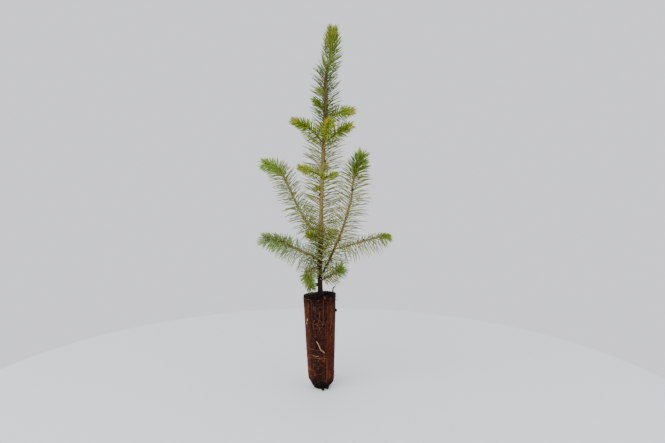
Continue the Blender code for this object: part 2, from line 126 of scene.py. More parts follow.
# A limb leaves its carrier's axis, at a height in mm on the trunk and at a distance along a bough:
#   legs      length of each stretch in mm, its rise and its heading in degrees
#   thick     its radius at the foot and at the tip, in mm
#   needle    length of a full needle, in mm
#   spread    angle of needles off the twig at its foot, where the flush starts and at its tip
#   pitch     mm from one needle to the next
#   flush     mm of this year's growth at its tip, where needles stand closer
#   tints     pairs of tints for its old, newer and newest needles
#   age       from 0, dark bark, to 1, a green twig, at its foot and at its tip
#   new, tip  share of a needle's full length where the flush starts, and at the tip
#   arch, sag how far needles bow towards the tip, and how far they hang, by their length
#   upper     share of their length that needles on the upper side have
#   bare      mm at its foot without needles
#   closing   pitch at its end as a share of the pitch at its start
Limb = namedtuple(
    "Limb",
    "name at legs thick needle spread pitch flush tints age new tip arch sag upper bare carrier closing",
    defaults=(0.9, 0.6, 0.1, 0.04, 1.0, 0, "trunk", 1.0),
)

OLD = ("olive", "grey_green")
DEEP = ("deep_green", "mid_green")
BLUE = ("blue_green", "grey_green")
SEA = ("blue_green", "bright_green")
FRESH = ("bright_green", "mid_green")
LEAF = ("leaf_green", "mid_green")
SLATE = ("slate_green", "deep_green")
MOSS = ("mid_green", "yellow_green")
GOLD = ("gold_green", "yellow_green")
YELLOW = ("yellow_green", "gold_green")
LEADER = ("leader_green", "mid_green")

LIMBS = [
    Limb(
        "right", 130, thick=(1.5, 0.6), needle=26.5, spread=(80, 68, 34), pitch=0.4, flush=27,
        tints=(OLD, DEEP, MOSS), age=(0.02, 0.7), new=0.78, tip=0.48, sag=0.03, bare=14,
        legs=[(9, 58, 328), (30, 62.5, 331), (24, 66, 341), (36, 73, 347), (26, 83, 355), (27, 70, 346)],
    ),
    Limb(
        "right_fork", 39.8, thick=(0.95, 0.6), needle=19, spread=(82, 66, 34), pitch=0.4, flush=13,
        tints=(OLD, MOSS, MOSS), age=(0.45, 0.7), new=0.7, tip=0.42, sag=0.3, upper=0.6, bare=7,
        legs=[(35, 13, 18), (29, 12, 25), (8, 2, 19)], carrier="right",
    ),
    Limb(
        "upper_left", 178.5, thick=(1.25, 0.65), needle=22, spread=(72, 64, 40), pitch=0.37, flush=28,
        tints=(OLD, FRESH, FRESH), age=(0.6, 0.95), new=0.85, tip=0.5, sag=0.1, bare=6,
        legs=[(22, 42, 158), (22, 56, 160), (28, 63, 158), (24, 60, 165), (12, 30, 169), (8, 17, 171)],
    ),
    Limb(
        "lower_left", 150, thick=(1.2, 0.65), needle=22, spread=(76, 70, 46), pitch=0.3, flush=36,
        tints=(BLUE, SEA), age=(0.5, 0.9), new=0.92, tip=0.52, sag=0.22, upper=0.82, bare=5,
        legs=[(12, 34, 213), (33, 24, 214), (16, 27, 214), (18, 13, 210)],
    ),
    Limb(
        "low_front", 143.5, thick=(0.85, 0.55), needle=15, spread=(74, 60, 36), pitch=0.28, flush=20,
        tints=(OLD, LEAF, DEEP), age=(0.65, 0.9), new=0.85, tip=0.62, bare=4,
        legs=[(11, -6, 226), (9, -22, 230), (9, -60, 270), (9, -62, 320)],
    ),
    Limb(
        "low_right", 127, thick=(0.8, 0.55), needle=16, spread=(76, 62, 40), pitch=0.26, flush=9,
        tints=(OLD, LEAF), age=(0.2, 0.32), tip=0.75, bare=4, legs=[(19, 28, 336), (12, 32, 337)],
    ),
    Limb(
        "low_back", 158, thick=(0.95, 0.6), needle=15, spread=(66, 58, 34), pitch=0.5, flush=14,
        tints=(BLUE, FRESH), age=(0.3, 0.8), bare=5,
        legs=[(16, 38, 98), (22, 30, 92), (16, 22, 88)],
    ),
    Limb(
        "inner_left", 173, thick=(0.75, 0.55), needle=13, spread=(62, 50, 30), pitch=0.34, flush=12,
        tints=(OLD, MOSS), age=(0.5, 0.9), legs=[(12, 30, 232), (12, 20, 230)],
    ),
    Limb(
        "inner_right", 168, thick=(0.8, 0.55), needle=14, spread=(66, 56, 36), pitch=0.34, flush=8,
        tints=(OLD, OLD), age=(0.4, 0.8), legs=[(13, 34, 52), (15, 22, 46)],
    ),
    Limb(
        "bud_left", 231, thick=(0.7, 0.5), needle=8, spread=(60, 45, 20), pitch=0.28, flush=4,
        tints=(YELLOW, YELLOW), age=(0.6, 0.9), arch=-0.05, legs=[(8, 40, 200)],
    ),
    Limb(
        "middle_left", 249.5, thick=(0.75, 0.55), needle=10.5, spread=(68, 60, 36), pitch=0.3,
        flush=14, tints=(YELLOW, GOLD), age=(0.6, 0.9), arch=-0.05,
        legs=[(13, 26, 197), (16, 17, 195)],
    ),
    Limb(
        "middle_right", 246.5, thick=(0.7, 0.5), needle=8, spread=(58, 48, 26), pitch=0.34, flush=8,
        tints=(GOLD, YELLOW), age=(0.6, 0.9), arch=-0.05, legs=[(9, 24, 336), (9, 14, 345)],
    ),
    Limb(
        "middle_front", 244, thick=(0.7, 0.5), needle=8, spread=(58, 48, 28), pitch=0.34, flush=8,
        tints=(GOLD, YELLOW), age=(0.6, 0.9), arch=-0.05, legs=[(7, 34, 275), (8, 26, 270)],
    ),
    Limb(
        "middle_back", 250, thick=(0.75, 0.55), needle=12, spread=(60, 50, 32), pitch=0.36, flush=12,
        tints=(GOLD, YELLOW), age=(0.6, 0.9), legs=[(12, 34, 88), (18, 24, 84)],
    ),
    Limb(
        "whorl_left", 287, thick=(0.85, 0.55), needle=16, spread=(70, 58, 36), pitch=0.28, flush=22,
        tints=(MOSS, MOSS, YELLOW), age=(0.5, 0.95), new=0.76, tip=0.44, arch=-0.04,
        legs=[(16, 48, 205), (16, 34, 202), (14, 18, 199)],
    ),
    Limb(
        "whorl_right", 288, thick=(0.85, 0.55), needle=16, spread=(70, 58, 36), pitch=0.28, flush=18,
        tints=(MOSS, MOSS, YELLOW), age=(0.5, 0.95), new=0.76, tip=0.44, arch=-0.04,
        legs=[(18, 35, 337), (12, 29, 336), (9, 20, 338)],
    ),
    Limb(
        "whorl_front", 290, thick=(0.8, 0.55), needle=12, spread=(64, 54, 30), pitch=0.28, flush=16,
        tints=(YELLOW, YELLOW), age=(0.5, 0.95), arch=-0.04,
        legs=[(12, 42, 285), (12, 34, 283), (13, 28, 286)],
    ),
    Limb(
        "whorl_back", 291, thick=(0.8, 0.55), needle=12, spread=(62, 52, 32), pitch=0.34, flush=16,
        tints=(YELLOW, YELLOW), age=(0.5, 0.95), legs=[(13, 44, 92), (14, 32, 96), (12, 20, 92)],
    ),
    Limb(
        "high_right", 315, thick=(0.8, 0.55), needle=16, spread=(70, 56, 36), pitch=0.28, flush=18,
        tints=(MOSS, YELLOW), age=(0.5, 0.95), new=0.76, tip=0.48, arch=-0.04,
        legs=[(14, 30, 28), (13, 18, 27), (12, 11, 24)],
    ),
    Limb(
        "tuft_left", 325, thick=(0.65, 0.5), needle=9, spread=(58, 46, 26), pitch=0.25, flush=10,
        tints=(FRESH, MOSS), age=(0.7, 0.95), arch=-0.04, legs=[(10, 38, 215), (8, 34, 212)],
    ),
    Limb(
        "tuft_high", 342, thick=(0.6, 0.5), needle=8.5, spread=(58, 46, 26), pitch=0.25, flush=8,
        tints=(YELLOW, YELLOW), age=(0.7, 0.95), arch=-0.04, legs=[(6, 45, 190), (4, 40, 185)],
    ),
]  # fmt: skip

# Stretches of the trunk, between two heights in mm, that carry needles of their own: the other
# fields are a limb's
Stretch = namedtuple(
    "Stretch",
    "name low high needle spread pitch tints new tip arch sag upper flush closing",
    defaults=(1.0, 0.9, 0.12, 0.0, 1.0, 0, 1.0),
)

STRETCHES = [
    Stretch("trunk_low", 128, 185, needle=21, spread=(77, 75, 72), pitch=0.28, tints=(BLUE, OLD)),
    Stretch("trunk_middle", 184, 247, needle=31, spread=(77, 74, 71), pitch=0.37, tints=(OLD, OLD)),
    Stretch("trunk_upper", 252, 287, needle=30, spread=(76, 72, 68), pitch=0.37, tints=(OLD, OLD)),
    Stretch("trunk_neck", 296, 316, needle=23, spread=(65, 62, 60), pitch=0.44, tints=(OLD, SLATE)),
    Stretch(
        "leader_foot", 317, 366, needle=23, spread=(68, 58, 48), pitch=0.3, tints=(SLATE, SLATE),
        arch=0.06,
    ),
    Stretch(
        "leader_tip", 365, 415, needle=20, spread=(52, 42, 25), pitch=0.34,
        tints=(DEEP, LEADER, MOSS), tip=0.64, arch=-0.06, closing=0.24,
    ),
]  # fmt: skip

# Needles of these limbs and stretches share the finish of one slot
SLOTS = {
    "needles_dull_green": [
        "right", "upper_left", "lower_left", "low_back", "inner_right",
        "trunk_low", "trunk_middle", "trunk_upper", "trunk_neck",
    ],
    "needles_bright_green": ["low_front", "low_right", "inner_left", "tuft_left"],
    "needles_yellow_green": [
        "right_fork", "bud_left", "middle_left", "middle_right", "middle_front", "middle_back",
        "whorl_left", "whorl_right", "whorl_front", "whorl_back", "high_right", "tuft_high",
        "leader_foot", "leader_tip",
    ],
}  # fmt: skip

# Needle tints as sRGB hex values, each used in a darker, a plain and a lighter shade
TINTS = {
    "olive": "#868a3e",
    "grey_green": "#848f58",
    "slate_green": "#627046",
    "deep_green": "#61732a",
    "mid_green": "#788c26",
    "leaf_green": "#68883a",
    "blue_green": "#8a9a6c",
    "bright_green": "#88a640",
    "leader_green": "#767c16",
    "yellow_green": "#9caa34",
    "gold_green": "#aeb24c",
}
SHADES = (0.78, 1.0, 1.2)

# Rings along a needle, as shares of its length, and its width there: a narrow foot on its peg,
# even sides and a sharp point
NEEDLE_RINGS = (0.0, 0.07, 0.2, 0.36, 0.52, 0.68, 0.82, 0.93, 1.0)
NEEDLE_PROFILE = (0.5, 0.78, 0.97, 1.0, 1.0, 0.93, 0.75, 0.42, 0.0)
NEEDLE_FLATNESS = 0.72
NEEDLE_CORNERS = 4
NEEDLE_SINK = 0.8  # where it starts, as a share of its twig's radius

# A peg's radius at its four points, by its needle's width, and how far its foot and its bend lie
# down the twig from its needle
PEG_PROFILE = (0.14, 0.46, 0.52, 0.34)
PEG_FOOT = 1.3 * MM
PEG_BEND = 0.5 * MM
PEG_SINK = 0.85  # where its foot lies, as a share of its twig's radius
PEG_STANDS_OUT = 0.1 * MM  # at its bend

# How the needles of one spray differ
PLACE_JITTER = 0.25  # of a pitch either way
TURN_JITTER = 0.12  # radians, as a deviation
ANGLE_JITTER = 10  # degrees either way
LENGTH_RANGE = (0.84, 1.04)
ARCH_JITTER = 0.09  # of a needle's length, as a deviation
LEAN_JITTER = 0.1  # the same, to the side
SAG_RANGE = (0.6, 1.4)
WIDTH_RANGE = (0.85, 1.15)
SECOND_TINT_SHARE = 0.35  # how many take the second tint of their pair
# Odds of the newer and of the newest tints: their rise over the flush, and their value at its start
NEWER_ODDS = (2, 0.4)
NEWEST_ODDS = (2.2, -1.0)
# Share of a full-sized needle's width that old needles have, how much more the newest have, and
# the share on a spray without a flush
OLD_WIDTH = 0.76
NEW_WIDTH_GAIN = 0.18
STEADY_WIDTH = 0.79

# Needles are shorter at the foot of a spray, and shorten again round the start of its flush
FOOT_SHARE = 0.8
FOOT_REACH = 6 * MM
FLUSH_FADE = (5 * MM, 2 * MM)

# How near a needle may come to any other limb, and to the plug's top and side
LIMB_CLEARANCE = 0.5 * MM
PLUG_TOP_CLEARANCE = 0.8 * MM
PLUG_SIDE_CLEARANCE = 0.6 * MM

TIP_BUD = 1.8  # mm
LEADER_BUD = 2.6  # mm
BUD_SQUEEZE = (0.42, 0.42, 0.5)  # its radii by its length
BUD_TAPER = 0.25
BUD_RISE = 0.3  # how far its middle stands off its place, by its length
SCALE_ROWS = 2.6  # to half a bud
SCALE_COLUMNS = 6
SCALE_LIFT = 0.13
DORMANT_LEAN = 0.75  # how far one at a node points along its twig, by how far it points outward
DORMANT_SINK = 0.9  # where it starts, as a share of its twig's radius
# Buds at the nodes: limb, distance along it in mm, turn round it in degrees and length in mm
BUDS = [
    ("trunk", 11.8, 10, 4.6),
    ("trunk", 118.1, 25, 3.2),
    ("trunk", 157.3, 150, 3.4),
    ("trunk", 233.5, 40, 2.8),
    ("trunk", 239.7, 150, 3.0),
    ("right", 130.6, 45, 3.0),
    ("right", 112.4, 110, 2.8),
    ("right", 79.8, 80, 3.0),
    ("right", 52.3, 160, 2.6),
    ("right_fork", 37.6, 260, 3.0),
    ("right_fork", 51, 240, 2.4),
]

# Distances up the trunk in mm, and how deep its bark is cracked there as a share of its foot
TRUNK_DEPTHS = ((0, 60, 120, 190, 240, 300), (1, 0.73, 0.36, 0.5, 0.6, 0.3))
BOUGH_DEPTHS = ((0,), (0.3,))
TRUNK_CRACK = 1.5 * MM  # size of a crack
BOUGH_CRACK = 1.1 * MM
CRACK_SLIMNESS = 0.3  # its width by its length
CRACK_NOISE = (0.7, 2.1, 4)  # fractal increment, lacunarity and octaves
# Distances up the trunk in mm, and how much fuller it is there, as a share of the leader's foot
BARK_FULLNESS = (
    (0, 34, 50, 66, 78, 100, 190, 236, 262, 300),
    (0, 0.1, 0.75, 0.75, 0.25, 0.28, 0.45, 1, 0.3, 0),
)

TRUNK_COLOURS = [  # share of the way up the trunk, and colour
    (0.00, "#1e140a"),
    (0.07, "#2a1d0d"),
    (0.12, "#3c2c0e"),
    (0.21, "#524012"),
    (0.27, "#8c7838"),
    (0.42, "#a69458"),
    (0.53, "#826a2e"),
    (0.60, "#6a440c"),
    (0.66, "#6e4a10"),
    (0.70, "#5e3f0c"),
    (0.80, "#6a4c12"),
    (0.835, "#2e1c06"),
    (0.86, "#4e4410"),
    (1.00, "#7c8020"),
]
TWIG_COLOURS = [  # by age
    (0.00, "#211e08"),
    (0.20, "#453a14"),
    (0.42, "#8e7434"),
    (0.62, "#a2894a"),
    (0.80, "#a39c50"),
    (1.00, "#94963c"),
]
PEG_COLOURS = {
    "peg_dark_bark": "#4a3812",
    "peg_tan_bark": "#928044",
    "peg_orange_bark": "#5e410e",
    "peg_green_bark": "#7c7c22",
}
DARK_PEGS = ["trunk_low"]
ORANGE_PEGS = ["trunk_neck", "leader_foot"]
GREEN_PEGS = [
    "leader_tip", "upper_left", "high_right", "whorl_left", "whorl_right", "whorl_front",
    "whorl_back", "middle_left", "middle_right", "middle_front", "middle_back",
]  # fmt: skip

PEAT_FACES = [  # share of a turn from -X, and the tone of the plug there
    (0.00, "#542818"),
    (0.115, "#482012"),
    (0.15, "#1c0c0c"),
    (0.165, "#1a090c"),
    (0.27, "#190909"),
    (0.295, "#260e0a"),
    (0.318, "#4a1a0e"),
    (0.36, "#38130b"),
    (0.455, "#40180e"),
    (0.50, "#3a1812"),
    (0.625, "#4a2212"),
    (0.66, "#2c1216"),
    (0.79, "#3c1810"),
    (0.83, "#4a2010"),
    (0.955, "#4c2412"),
    (1.00, "#562a18"),
]
PEAT_HEIGHTS = [  # share of the way up the plug, and how much of its tone is left there
    (0.0, "#303030"),
    (0.06, "#707070"),
    (0.14, "#ffffff"),
    (0.9, "#ffffff"),
    (0.95, "#9a9a9a"),
    (0.995, "#6a6a6a"),
]
ROOT_COLOURS = {
    "root_dark_brown": "#36180f",
    "root_red_brown": "#622c18",
    "root_orange": "#8a4c2a",
    "root_tan": "#ab774a",
    "root_pale": "#d0a878",
    "root_black": "#0e0806",
}
CRUMB_COLOURS = {
    "crumb_black_peat": "#17100e",
    "crumb_brown_peat": "#2e1c14",
    "crumb_fibre": "#5a4430",
}
OTHER_COLOURS = {
    "root_mat": "#6c2c1a",
    "root_ends": "#8c5a40",
    "bud_scales": "#86682a",
    "dormant_bud": "#2a1808",
    "floor": "#eceff3",
    "studio_air": "#e9ebee",
}

ROOT_RINGS = 26
ROOT_CORNERS = 5
ROOT_TURNS = 9  # places where a wandering root changes its way
# Wandering roots, in mm and degrees: the heights where they start, how far down half of them and
# the others run, and how far they stray. One in four lies across.
ROOT_STARTS = (12, 109)
ROOT_RUNS = [(3, 10), (8, 34)]
STRAYING = 5.5
CROSS_ROOT_EVERY = 4
CROSS_RUN = (0, 3)
CROSS_STRAYING = 16
LOWEST_RUN = 3.0
HEIGHT_JITTER = 1.3
ROOT_HEIGHT_LIMITS = (2, 109.5)
ROOT_RADII = [0.08, 0.11, 0.15, 0.2]  # mm
ROOT_RADIUS_ODDS = [0.35, 0.35, 0.22, 0.08]
# Odds of the first five root colours, and on the side at -X, where more are pale
ROOT_ODDS = [0.44, 0.37, 0.15, 0.035, 0.005]
PALE_SIDE_ODDS = [0.35, 0.36, 0.24, 0.045, 0.005]
PALE_SIDE = (165, 228)  # headings
# Loose fibres, in mm and degrees: half of them stand at the rim
FIBRE_COUNT = 110
FIBRE_HEIGHTS = [(104, 109.6), (8, 100)]
FIBRE_LENGTHS = (1.0, 3.4)
FIBRE_RISES = (-50, 35)
FIBRE_RADII = (0.1, 0.18)
FIBRE_SWING = 35  # either way from straight out
FIBRE_DROOP = (20, 90)  # by the square of its length in metres
# Roots that stand out from the rest: headings in degrees and heights in mm along the plug's side,
# radius in mm and colour
NAMED_ROOTS = [
    ([255, 260, 264, 267, 270, 274, 283, 287], [58.6, 57.4, 54.6, 52, 50, 48.2, 46.4, 45], 0.34, "pale"),
    ([286, 284, 286, 285], [46, 42, 38, 34], 0.2, "orange"),
    ([218, 221, 219, 214, 212, 214], [82.0, 84.2, 84.0, 81.0, 78.4, 77.0], 0.34, "pale"),
    ([229, 233, 240, 247], [42.5, 41.6, 42.2, 41.4], 0.17, "tan"),
    ([227, 228, 227, 226], [104, 99, 95, 91], 0.14, "tan"),
    ([205, 214, 227, 240, 254, 267], [18, 16.8, 16.3, 17.6, 19.2, 20], 0.18, "orange"),
    ([283.5, 284, 283, 284], [108, 98, 86, 72], 0.16, "orange"),
    ([296, 295, 297, 296, 294], [37, 30, 24, 17, 9], 0.5, "red_brown"),
    ([299, 301, 300, 302], [38, 30, 22, 12], 0.26, "red_brown"),
    ([315, 308, 306, 312, 317], [62, 58, 53, 50, 52], 0.12, "orange"),
    ([262, 255, 250, 254, 262, 266], [96, 98, 93, 87, 85, 89], 0.09, "red_brown"),
    ([252, 247, 244, 249, 255], [84, 82, 77, 73, 74], 0.09, "tan"),
    ([272, 266, 262, 266, 273], [76, 75, 70, 66, 67], 0.09, "red_brown"),
]
# The black root that stands up from the rim and hooks over: places and radius in mm
HOOK_ROOT = [
    (14.3, -9.0, 110), (14.2, -9.2, 113.5), (13.8, -9.4, 116.6), (14.0, -9.5, 119.2),
    (15.0, -9.4, 120.9), (16.6, -9.2, 121.6),
]  # fmt: skip
HOOK_RADIUS = 1.0
# Fibres that stand off the side: heading in degrees, height and length in mm, and rise in degrees
LOOSE_FIBRES = [
    (-4, 13, 4.8, 14), (-10, 15.5, 4.2, -16), (-2, 17, 3.4, 34), (-7, 19, 2.6, -5),
    (182, 49, 3.2, 12), (184, 31, 3.0, -12), (178, 62, 2.4, 20), (4, 70, 2.2, -20),
]  # fmt: skip
# Loose crumbs, in mm: one in four clings to the side, and half of those near the foot
CRUMB_ODDS = [0.6, 0.3, 0.1]  # of the three crumb colours
SIDE_CRUMB_EVERY = 4
SIDE_CRUMB_HEIGHTS = [(2, 12), (12, 106)]
SIDE_CRUMB_RADII = (0.3, 0.75)
TOP_CRUMB_RADII = (0.5, 1.5)
CRUMB_STRETCH = (0.6, 1.2)
# Crumbs that cling to the side and the foot, or lie fallen at it: place and radius in mm
PLACED_CRUMBS = [
    (17.6, -1.0, 92, 1.6), (1.6, -9.2, 1.6, 1.5), (0.2, -8.6, 1.3, 1.2), (3.4, -8.8, 1.5, 1.3),
    (7.5, -7.2, 3.4, 2.0), (10.5, -6.0, 6.0, 2.1), (12.4, -5.0, 8.6, 1.8), (5.6, -8.4, 2.2, 1.7),
    (2.4, -11.2, 1.2, 1.5), (1.6, -13.2, 1.1, 1.5), (2.6, -14.6, 0.9, 1.2), (7.4, -10.0, 1.1, 1.4),
]  # fmt: skip


def hex_colour(value):
    """Linear colour for an sRGB hex value."""
    channels = [int(value[i : i + 2], 16) / 255 for i in (1, 3, 5)]
    return tuple(c / 12.92 if c <= 0.04045 else ((c + 0.055) / 1.055) ** 2.4 for c in channels)


def chosen(name):
    """Linear colour of this name, as the panel has it."""
    return tuple(getattr(bpy.context.scene.spruce_colours, name))


def ramp(values, start, end):
    """Zero up to start, one from end on, and even between them."""
    return np.clip((values - start) / (end - start), 0, 1)


def from_either(ranges, random):
    """A number from one of these ranges, taken with even odds."""
    return random.choice([random.uniform(*span) for span in ranges])


# Routes of limbs


def unit_vector(rise, heading):
    """Unit vector that rises and heads by these angles, in degrees."""
    rise, heading = math.radians(rise), math.radians(heading)
    level = math.cos(rise)
    return np.array([level * math.cos(heading), level * math.sin(heading), math.sin(rise)])


def smooth_route(start, legs):
    """Points along a smooth curve that starts here and passes through the end of each leg."""
    knots = [np.array(start, float)]
    for length, rise, heading in legs:
        knots.append(knots[-1] + unit_vector(rise, heading) * (length * MM))
    ends = [2 * knots[0] - knots[1], *knots, 2 * knots[-1] - knots[-2]]
    route = [knots[0]]
    for before, first, second, after in zip(ends, ends[1:], ends[2:], ends[3:]):
        count = max(1, round(np.linalg.norm(second - first) / MM))
        for i in range(1, count + 1):
            t = i / count
            straight = 2 * first + (second - before) * t
            bend = (2 * before - 5 * first + 4 * second - after) * t**2
            twist = (3 * first - before - 3 * second + after) * t**3
            route.append((straight + bend + twist) / 2)
    return np.array(route)


def distances(route):
    """Distance along a route to each of its points."""
    steps = np.linalg.norm(np.diff(route, axis=0), axis=1)
    return np.concatenate([[0.0], np.cumsum(steps)])


def distance_at_height(route, height):
    """Distance along a route that rises all the way, to a height."""
    return np.interp(height, route[:, 2], distances(route))


def places_on(route, at):
    """Places and directions of a route at distances along it."""
    along = distances(route)
    tangents = np.gradient(route, axis=0)
    places = np.stack([np.interp(at, along, route[:, i]) for i in range(3)], 1)
    ahead = np.stack([np.interp(at, along, tangents[:, i]) for i in range(3)], 1)
    return places, unit(ahead)


def unit(vectors):
    """The same vectors with length one."""
    return vectors / np.maximum(np.linalg.norm(vectors, axis=-1, keepdims=True), 1e-12)


def crossways(ahead):
    """Two directions square to each of these, and to each other."""
    steep = np.abs(ahead[:, 2:3]) > 0.9
    aside = unit(np.cross(ahead, np.where(steep, [[0.0, 1.0, 0.0]], [[0.0, 0.0, 1.0]])))
    return aside, np.cross(ahead, aside)


def trunk_radius(at):
    """Radius of the trunk at distances up it."""
    up, radius = zip(*TRUNK_TAPER)
    return np.interp(np.asarray(at) / MM, up, radius) * MM


def limb_radius(limb, at):
    """Radius of a limb, which tapers evenly above a collar at its foot."""
    length = sum(leg[0] for leg in limb.legs) * MM
    foot, tip = limb.thick[0] * MM, limb.thick[1] * MM
    at = np.asarray(at)
    collar = COLLAR_SWELLING * np.exp(-at / COLLAR_REACH)
    return foot + (tip - foot) * np.minimum(1, at / length) + collar


def stem_radius(name, at):
    """Radius of the trunk or of the limb of this name, at distances along it."""
    if name == "trunk":
        return trunk_radius(at)
    return limb_radius(next(limb for limb in LIMBS if limb.name == name), at)


def make_routes():
    """Route of the trunk and of every limb, by name."""
    routes = {"trunk": smooth_route(TRUNK_FOOT, TRUNK_LEGS)}
    for limb in LIMBS:
        carrier = routes[limb.carrier]
        start = limb.at * MM
        if limb.carrier == "trunk":
            start = distance_at_height(carrier, start)
        routes[limb.name] = smooth_route(places_on(carrier, [start])[0][0], limb.legs)
    return routes


ROUTES = make_routes()


def limb_lines():
    """Every limb as short tapered lines: their owners, starts, ends and radii."""
    owners, starts, ends, radii = [], [], [], []
    for name, route in ROUTES.items():
        at = np.arange(0, distances(route)[-1], 3 * MM)
        places = places_on(route, at)[0]
        owners += [name] * (len(at) - 1)
        starts.append(places[:-1])
        ends.append(places[1:])
        radii.append(stem_radius(name, at)[:-1])
    return np.array(owners), np.concatenate(starts), np.concatenate(ends), np.concatenate(radii)


LINES = limb_lines()


def clear_paths(paths, own):
    """True for each path that keeps out of the plug and of every limb but its own."""
    owners, starts, ends, radii = LINES
    other = owners != own
    starts, axes, radii = starts[other], (ends - starts)[other], radii[other]
    points = paths[:, ::2].reshape(-1, 1, 3)
    offsets = points - starts
    along = np.clip((offsets * axes).sum(2) / (axes**2).sum(1), 0, 1)
    gaps = np.linalg.norm(offsets - along[..., None] * axes, axis=2) - radii
    hits = (gaps < LIMB_CLEARANCE).any(1).reshape(len(paths), -1).any(1)
    out = np.hypot(paths[..., 0] - PLUG_LEAN, paths[..., 1])
    low = paths[..., 2] < PLUG_HEIGHT + PLUG_TOP_CLEARANCE
    inside = low & (out < PLUG_TOP_RADIUS + PLUG_SIDE_CLEARANCE)
    return ~hits & ~inside.any(1)


# Sprays of needles


def spacing(first, last, plan):
    """Distances from first to last, a pitch apart, and closer towards the tip."""
    if plan.closing != 1.0:
        count = (last - first) / (plan.pitch * MM) * math.log(plan.closing) / (plan.closing - 1)
        share = (plan.closing ** np.linspace(0, 1, round(count)) - 1) / (plan.closing - 1)
        return first + (last - first) * share
    change = max(first, last - plan.flush * MM)
    old = np.arange(first, change, plan.pitch * MM)
    new = np.arange(change, last, FLUSH_PITCH * MM) if plan.flush else np.array([])
    return np.concatenate([old, new])


def needle_lengths(plan, at, first, change, last, side, random):
    """Lengths of needles, shorter near the foot, on the flush and on the upper side."""
    marks = (first, first + FOOT_REACH, change - FLUSH_FADE[0], change + FLUSH_FADE[1], last)
    full = np.interp(at, marks, (FOOT_SHARE, 1, 1, plan.new, plan.tip))
    reach = plan.needle * MM * full * random.uniform(*LENGTH_RANGE, len(at))
    return reach * (1 - (1 - plan.upper) * np.clip(side[:, 2], 0, 1))


def bowed_paths(starts, chords, ahead, plan, random):
    """Paths of needles that bow a little towards the tip and aside, and sag on their way out."""
    count = len(starts)
    bow = unit(ahead - (ahead * unit(chords)).sum(1, keepdims=True) * unit(chords))
    aside = unit(np.cross(chords, bow))
    t = np.array(NEEDLE_RINGS)[None, :, None]
    arch = (plan.arch + random.normal(0, ARCH_JITTER, count))[:, None, None]
    lean = random.normal(0, LEAN_JITTER, count)[:, None, None]
    sag = plan.sag * random.uniform(*SAG_RANGE, count)[:, None, None]
    reach = np.linalg.norm(chords, axis=1)[:, None, None]
    paths = starts[:, None] + chords[:, None] * t
    paths = paths + reach * t * (1 - t) * (bow[:, None] * arch + aside[:, None] * lean)
    paths[..., 2:3] -= reach * sag * t**2
    return paths


def dealt_tints(plan, flushed, newness, random):
    """Names of needles' tints. Flushed is zero where the flush starts, and one at the tip."""
    count = len(flushed)
    stage = (random.uniform(0, 1, count) < newness).astype(int)
    stage = stage + (random.uniform(0, 1, count) < flushed * NEWEST_ODDS[0] + NEWEST_ODDS[1])
    stage = np.minimum(stage, len(plan.tints) - 1)
    second = (random.uniform(0, 1, count) < SECOND_TINT_SHARE).astype(int)
    pairs = zip(stage, second)
    return np.array([f"{plan.tints[i][j]}_{random.integers(len(SHADES))}" for i, j in pairs])


def spray_needles(plan, own, first, last, sizes, random):
    """One spray on the stem named own: paths of needles, widths, sides, tints and pegs."""
    at = spacing(first, last, plan)
    count = len(at)
    moved = random.uniform(-PLACE_JITTER, PLACE_JITTER, count) * plan.pitch * MM
    at = np.clip(at + moved, first, last)
    roots, ahead = places_on(ROUTES[own], at)
    aside, across = crossways(ahead)
    turn = random.uniform(0, 2 * math.pi) + np.arange(count) * GOLDEN_ANGLE
    turn += random.normal(0, TURN_JITTER, count)
    side = aside * np.cos(turn)[:, None] + across * np.sin(turn)[:, None]
    change = last - plan.flush * MM if plan.flush else (first + last) / 2
    off = np.interp(at, (first, change, last), plan.spread)
    off = np.radians(off + random.uniform(-ANGLE_JITTER, ANGLE_JITTER, count))
    outward = ahead * np.cos(off)[:, None] + side * np.sin(off)[:, None]
    reach = needle_lengths(plan, at, first, change, last, side, random)
    radii = stem_radius(own, at)
    starts = roots + side * (radii * NEEDLE_SINK)[:, None]
    paths = bowed_paths(starts, roots + outward * reach[:, None] - starts, ahead, plan, random)
    kept = clear_paths(paths[:, 1:], own)
    flushed = (at - change) / (last - change)
    newness = np.clip(flushed * NEWER_ODDS[0] + NEWER_ODDS[1], 0, 1)
    tints = dealt_tints(plan, flushed, newness, random)
    width = sizes.needle_width * random.uniform(*WIDTH_RANGE, count)
    width = width * (OLD_WIDTH + NEW_WIDTH_GAIN * newness if plan.flush else STEADY_WIDTH)
    pegs = [part[kept] for part in (roots, ahead, side, radii)]
    return paths[kept], width[kept], side[kept], tints[kept], pegs


def grow_sprays(sizes):
    """Every spray of needles by the name of its limb or stretch."""
    sprays = {}
    for seed, plan in enumerate([*LIMBS, *STRETCHES]):
        random = np.random.default_rng([SEED, seed])
        if isinstance(plan, Limb):
            own = plan.name
            first = max(plan.bare * MM, NEEDLE_FREE_FOOT)
            last = distances(ROUTES[own])[-1]
        else:
            own = "trunk"
            heights = [plan.low * MM, plan.high * MM]
            first, last = distance_at_height(ROUTES[own], heights)
        sprays[plan.name] = spray_needles(plan, own, first, last, sizes, random)
    return sprays


# Meshes


def deselect():
    """Leave nothing selected, so that an operator acts only on what comes next."""
    bpy.ops.object.select_all(action="DESELECT")


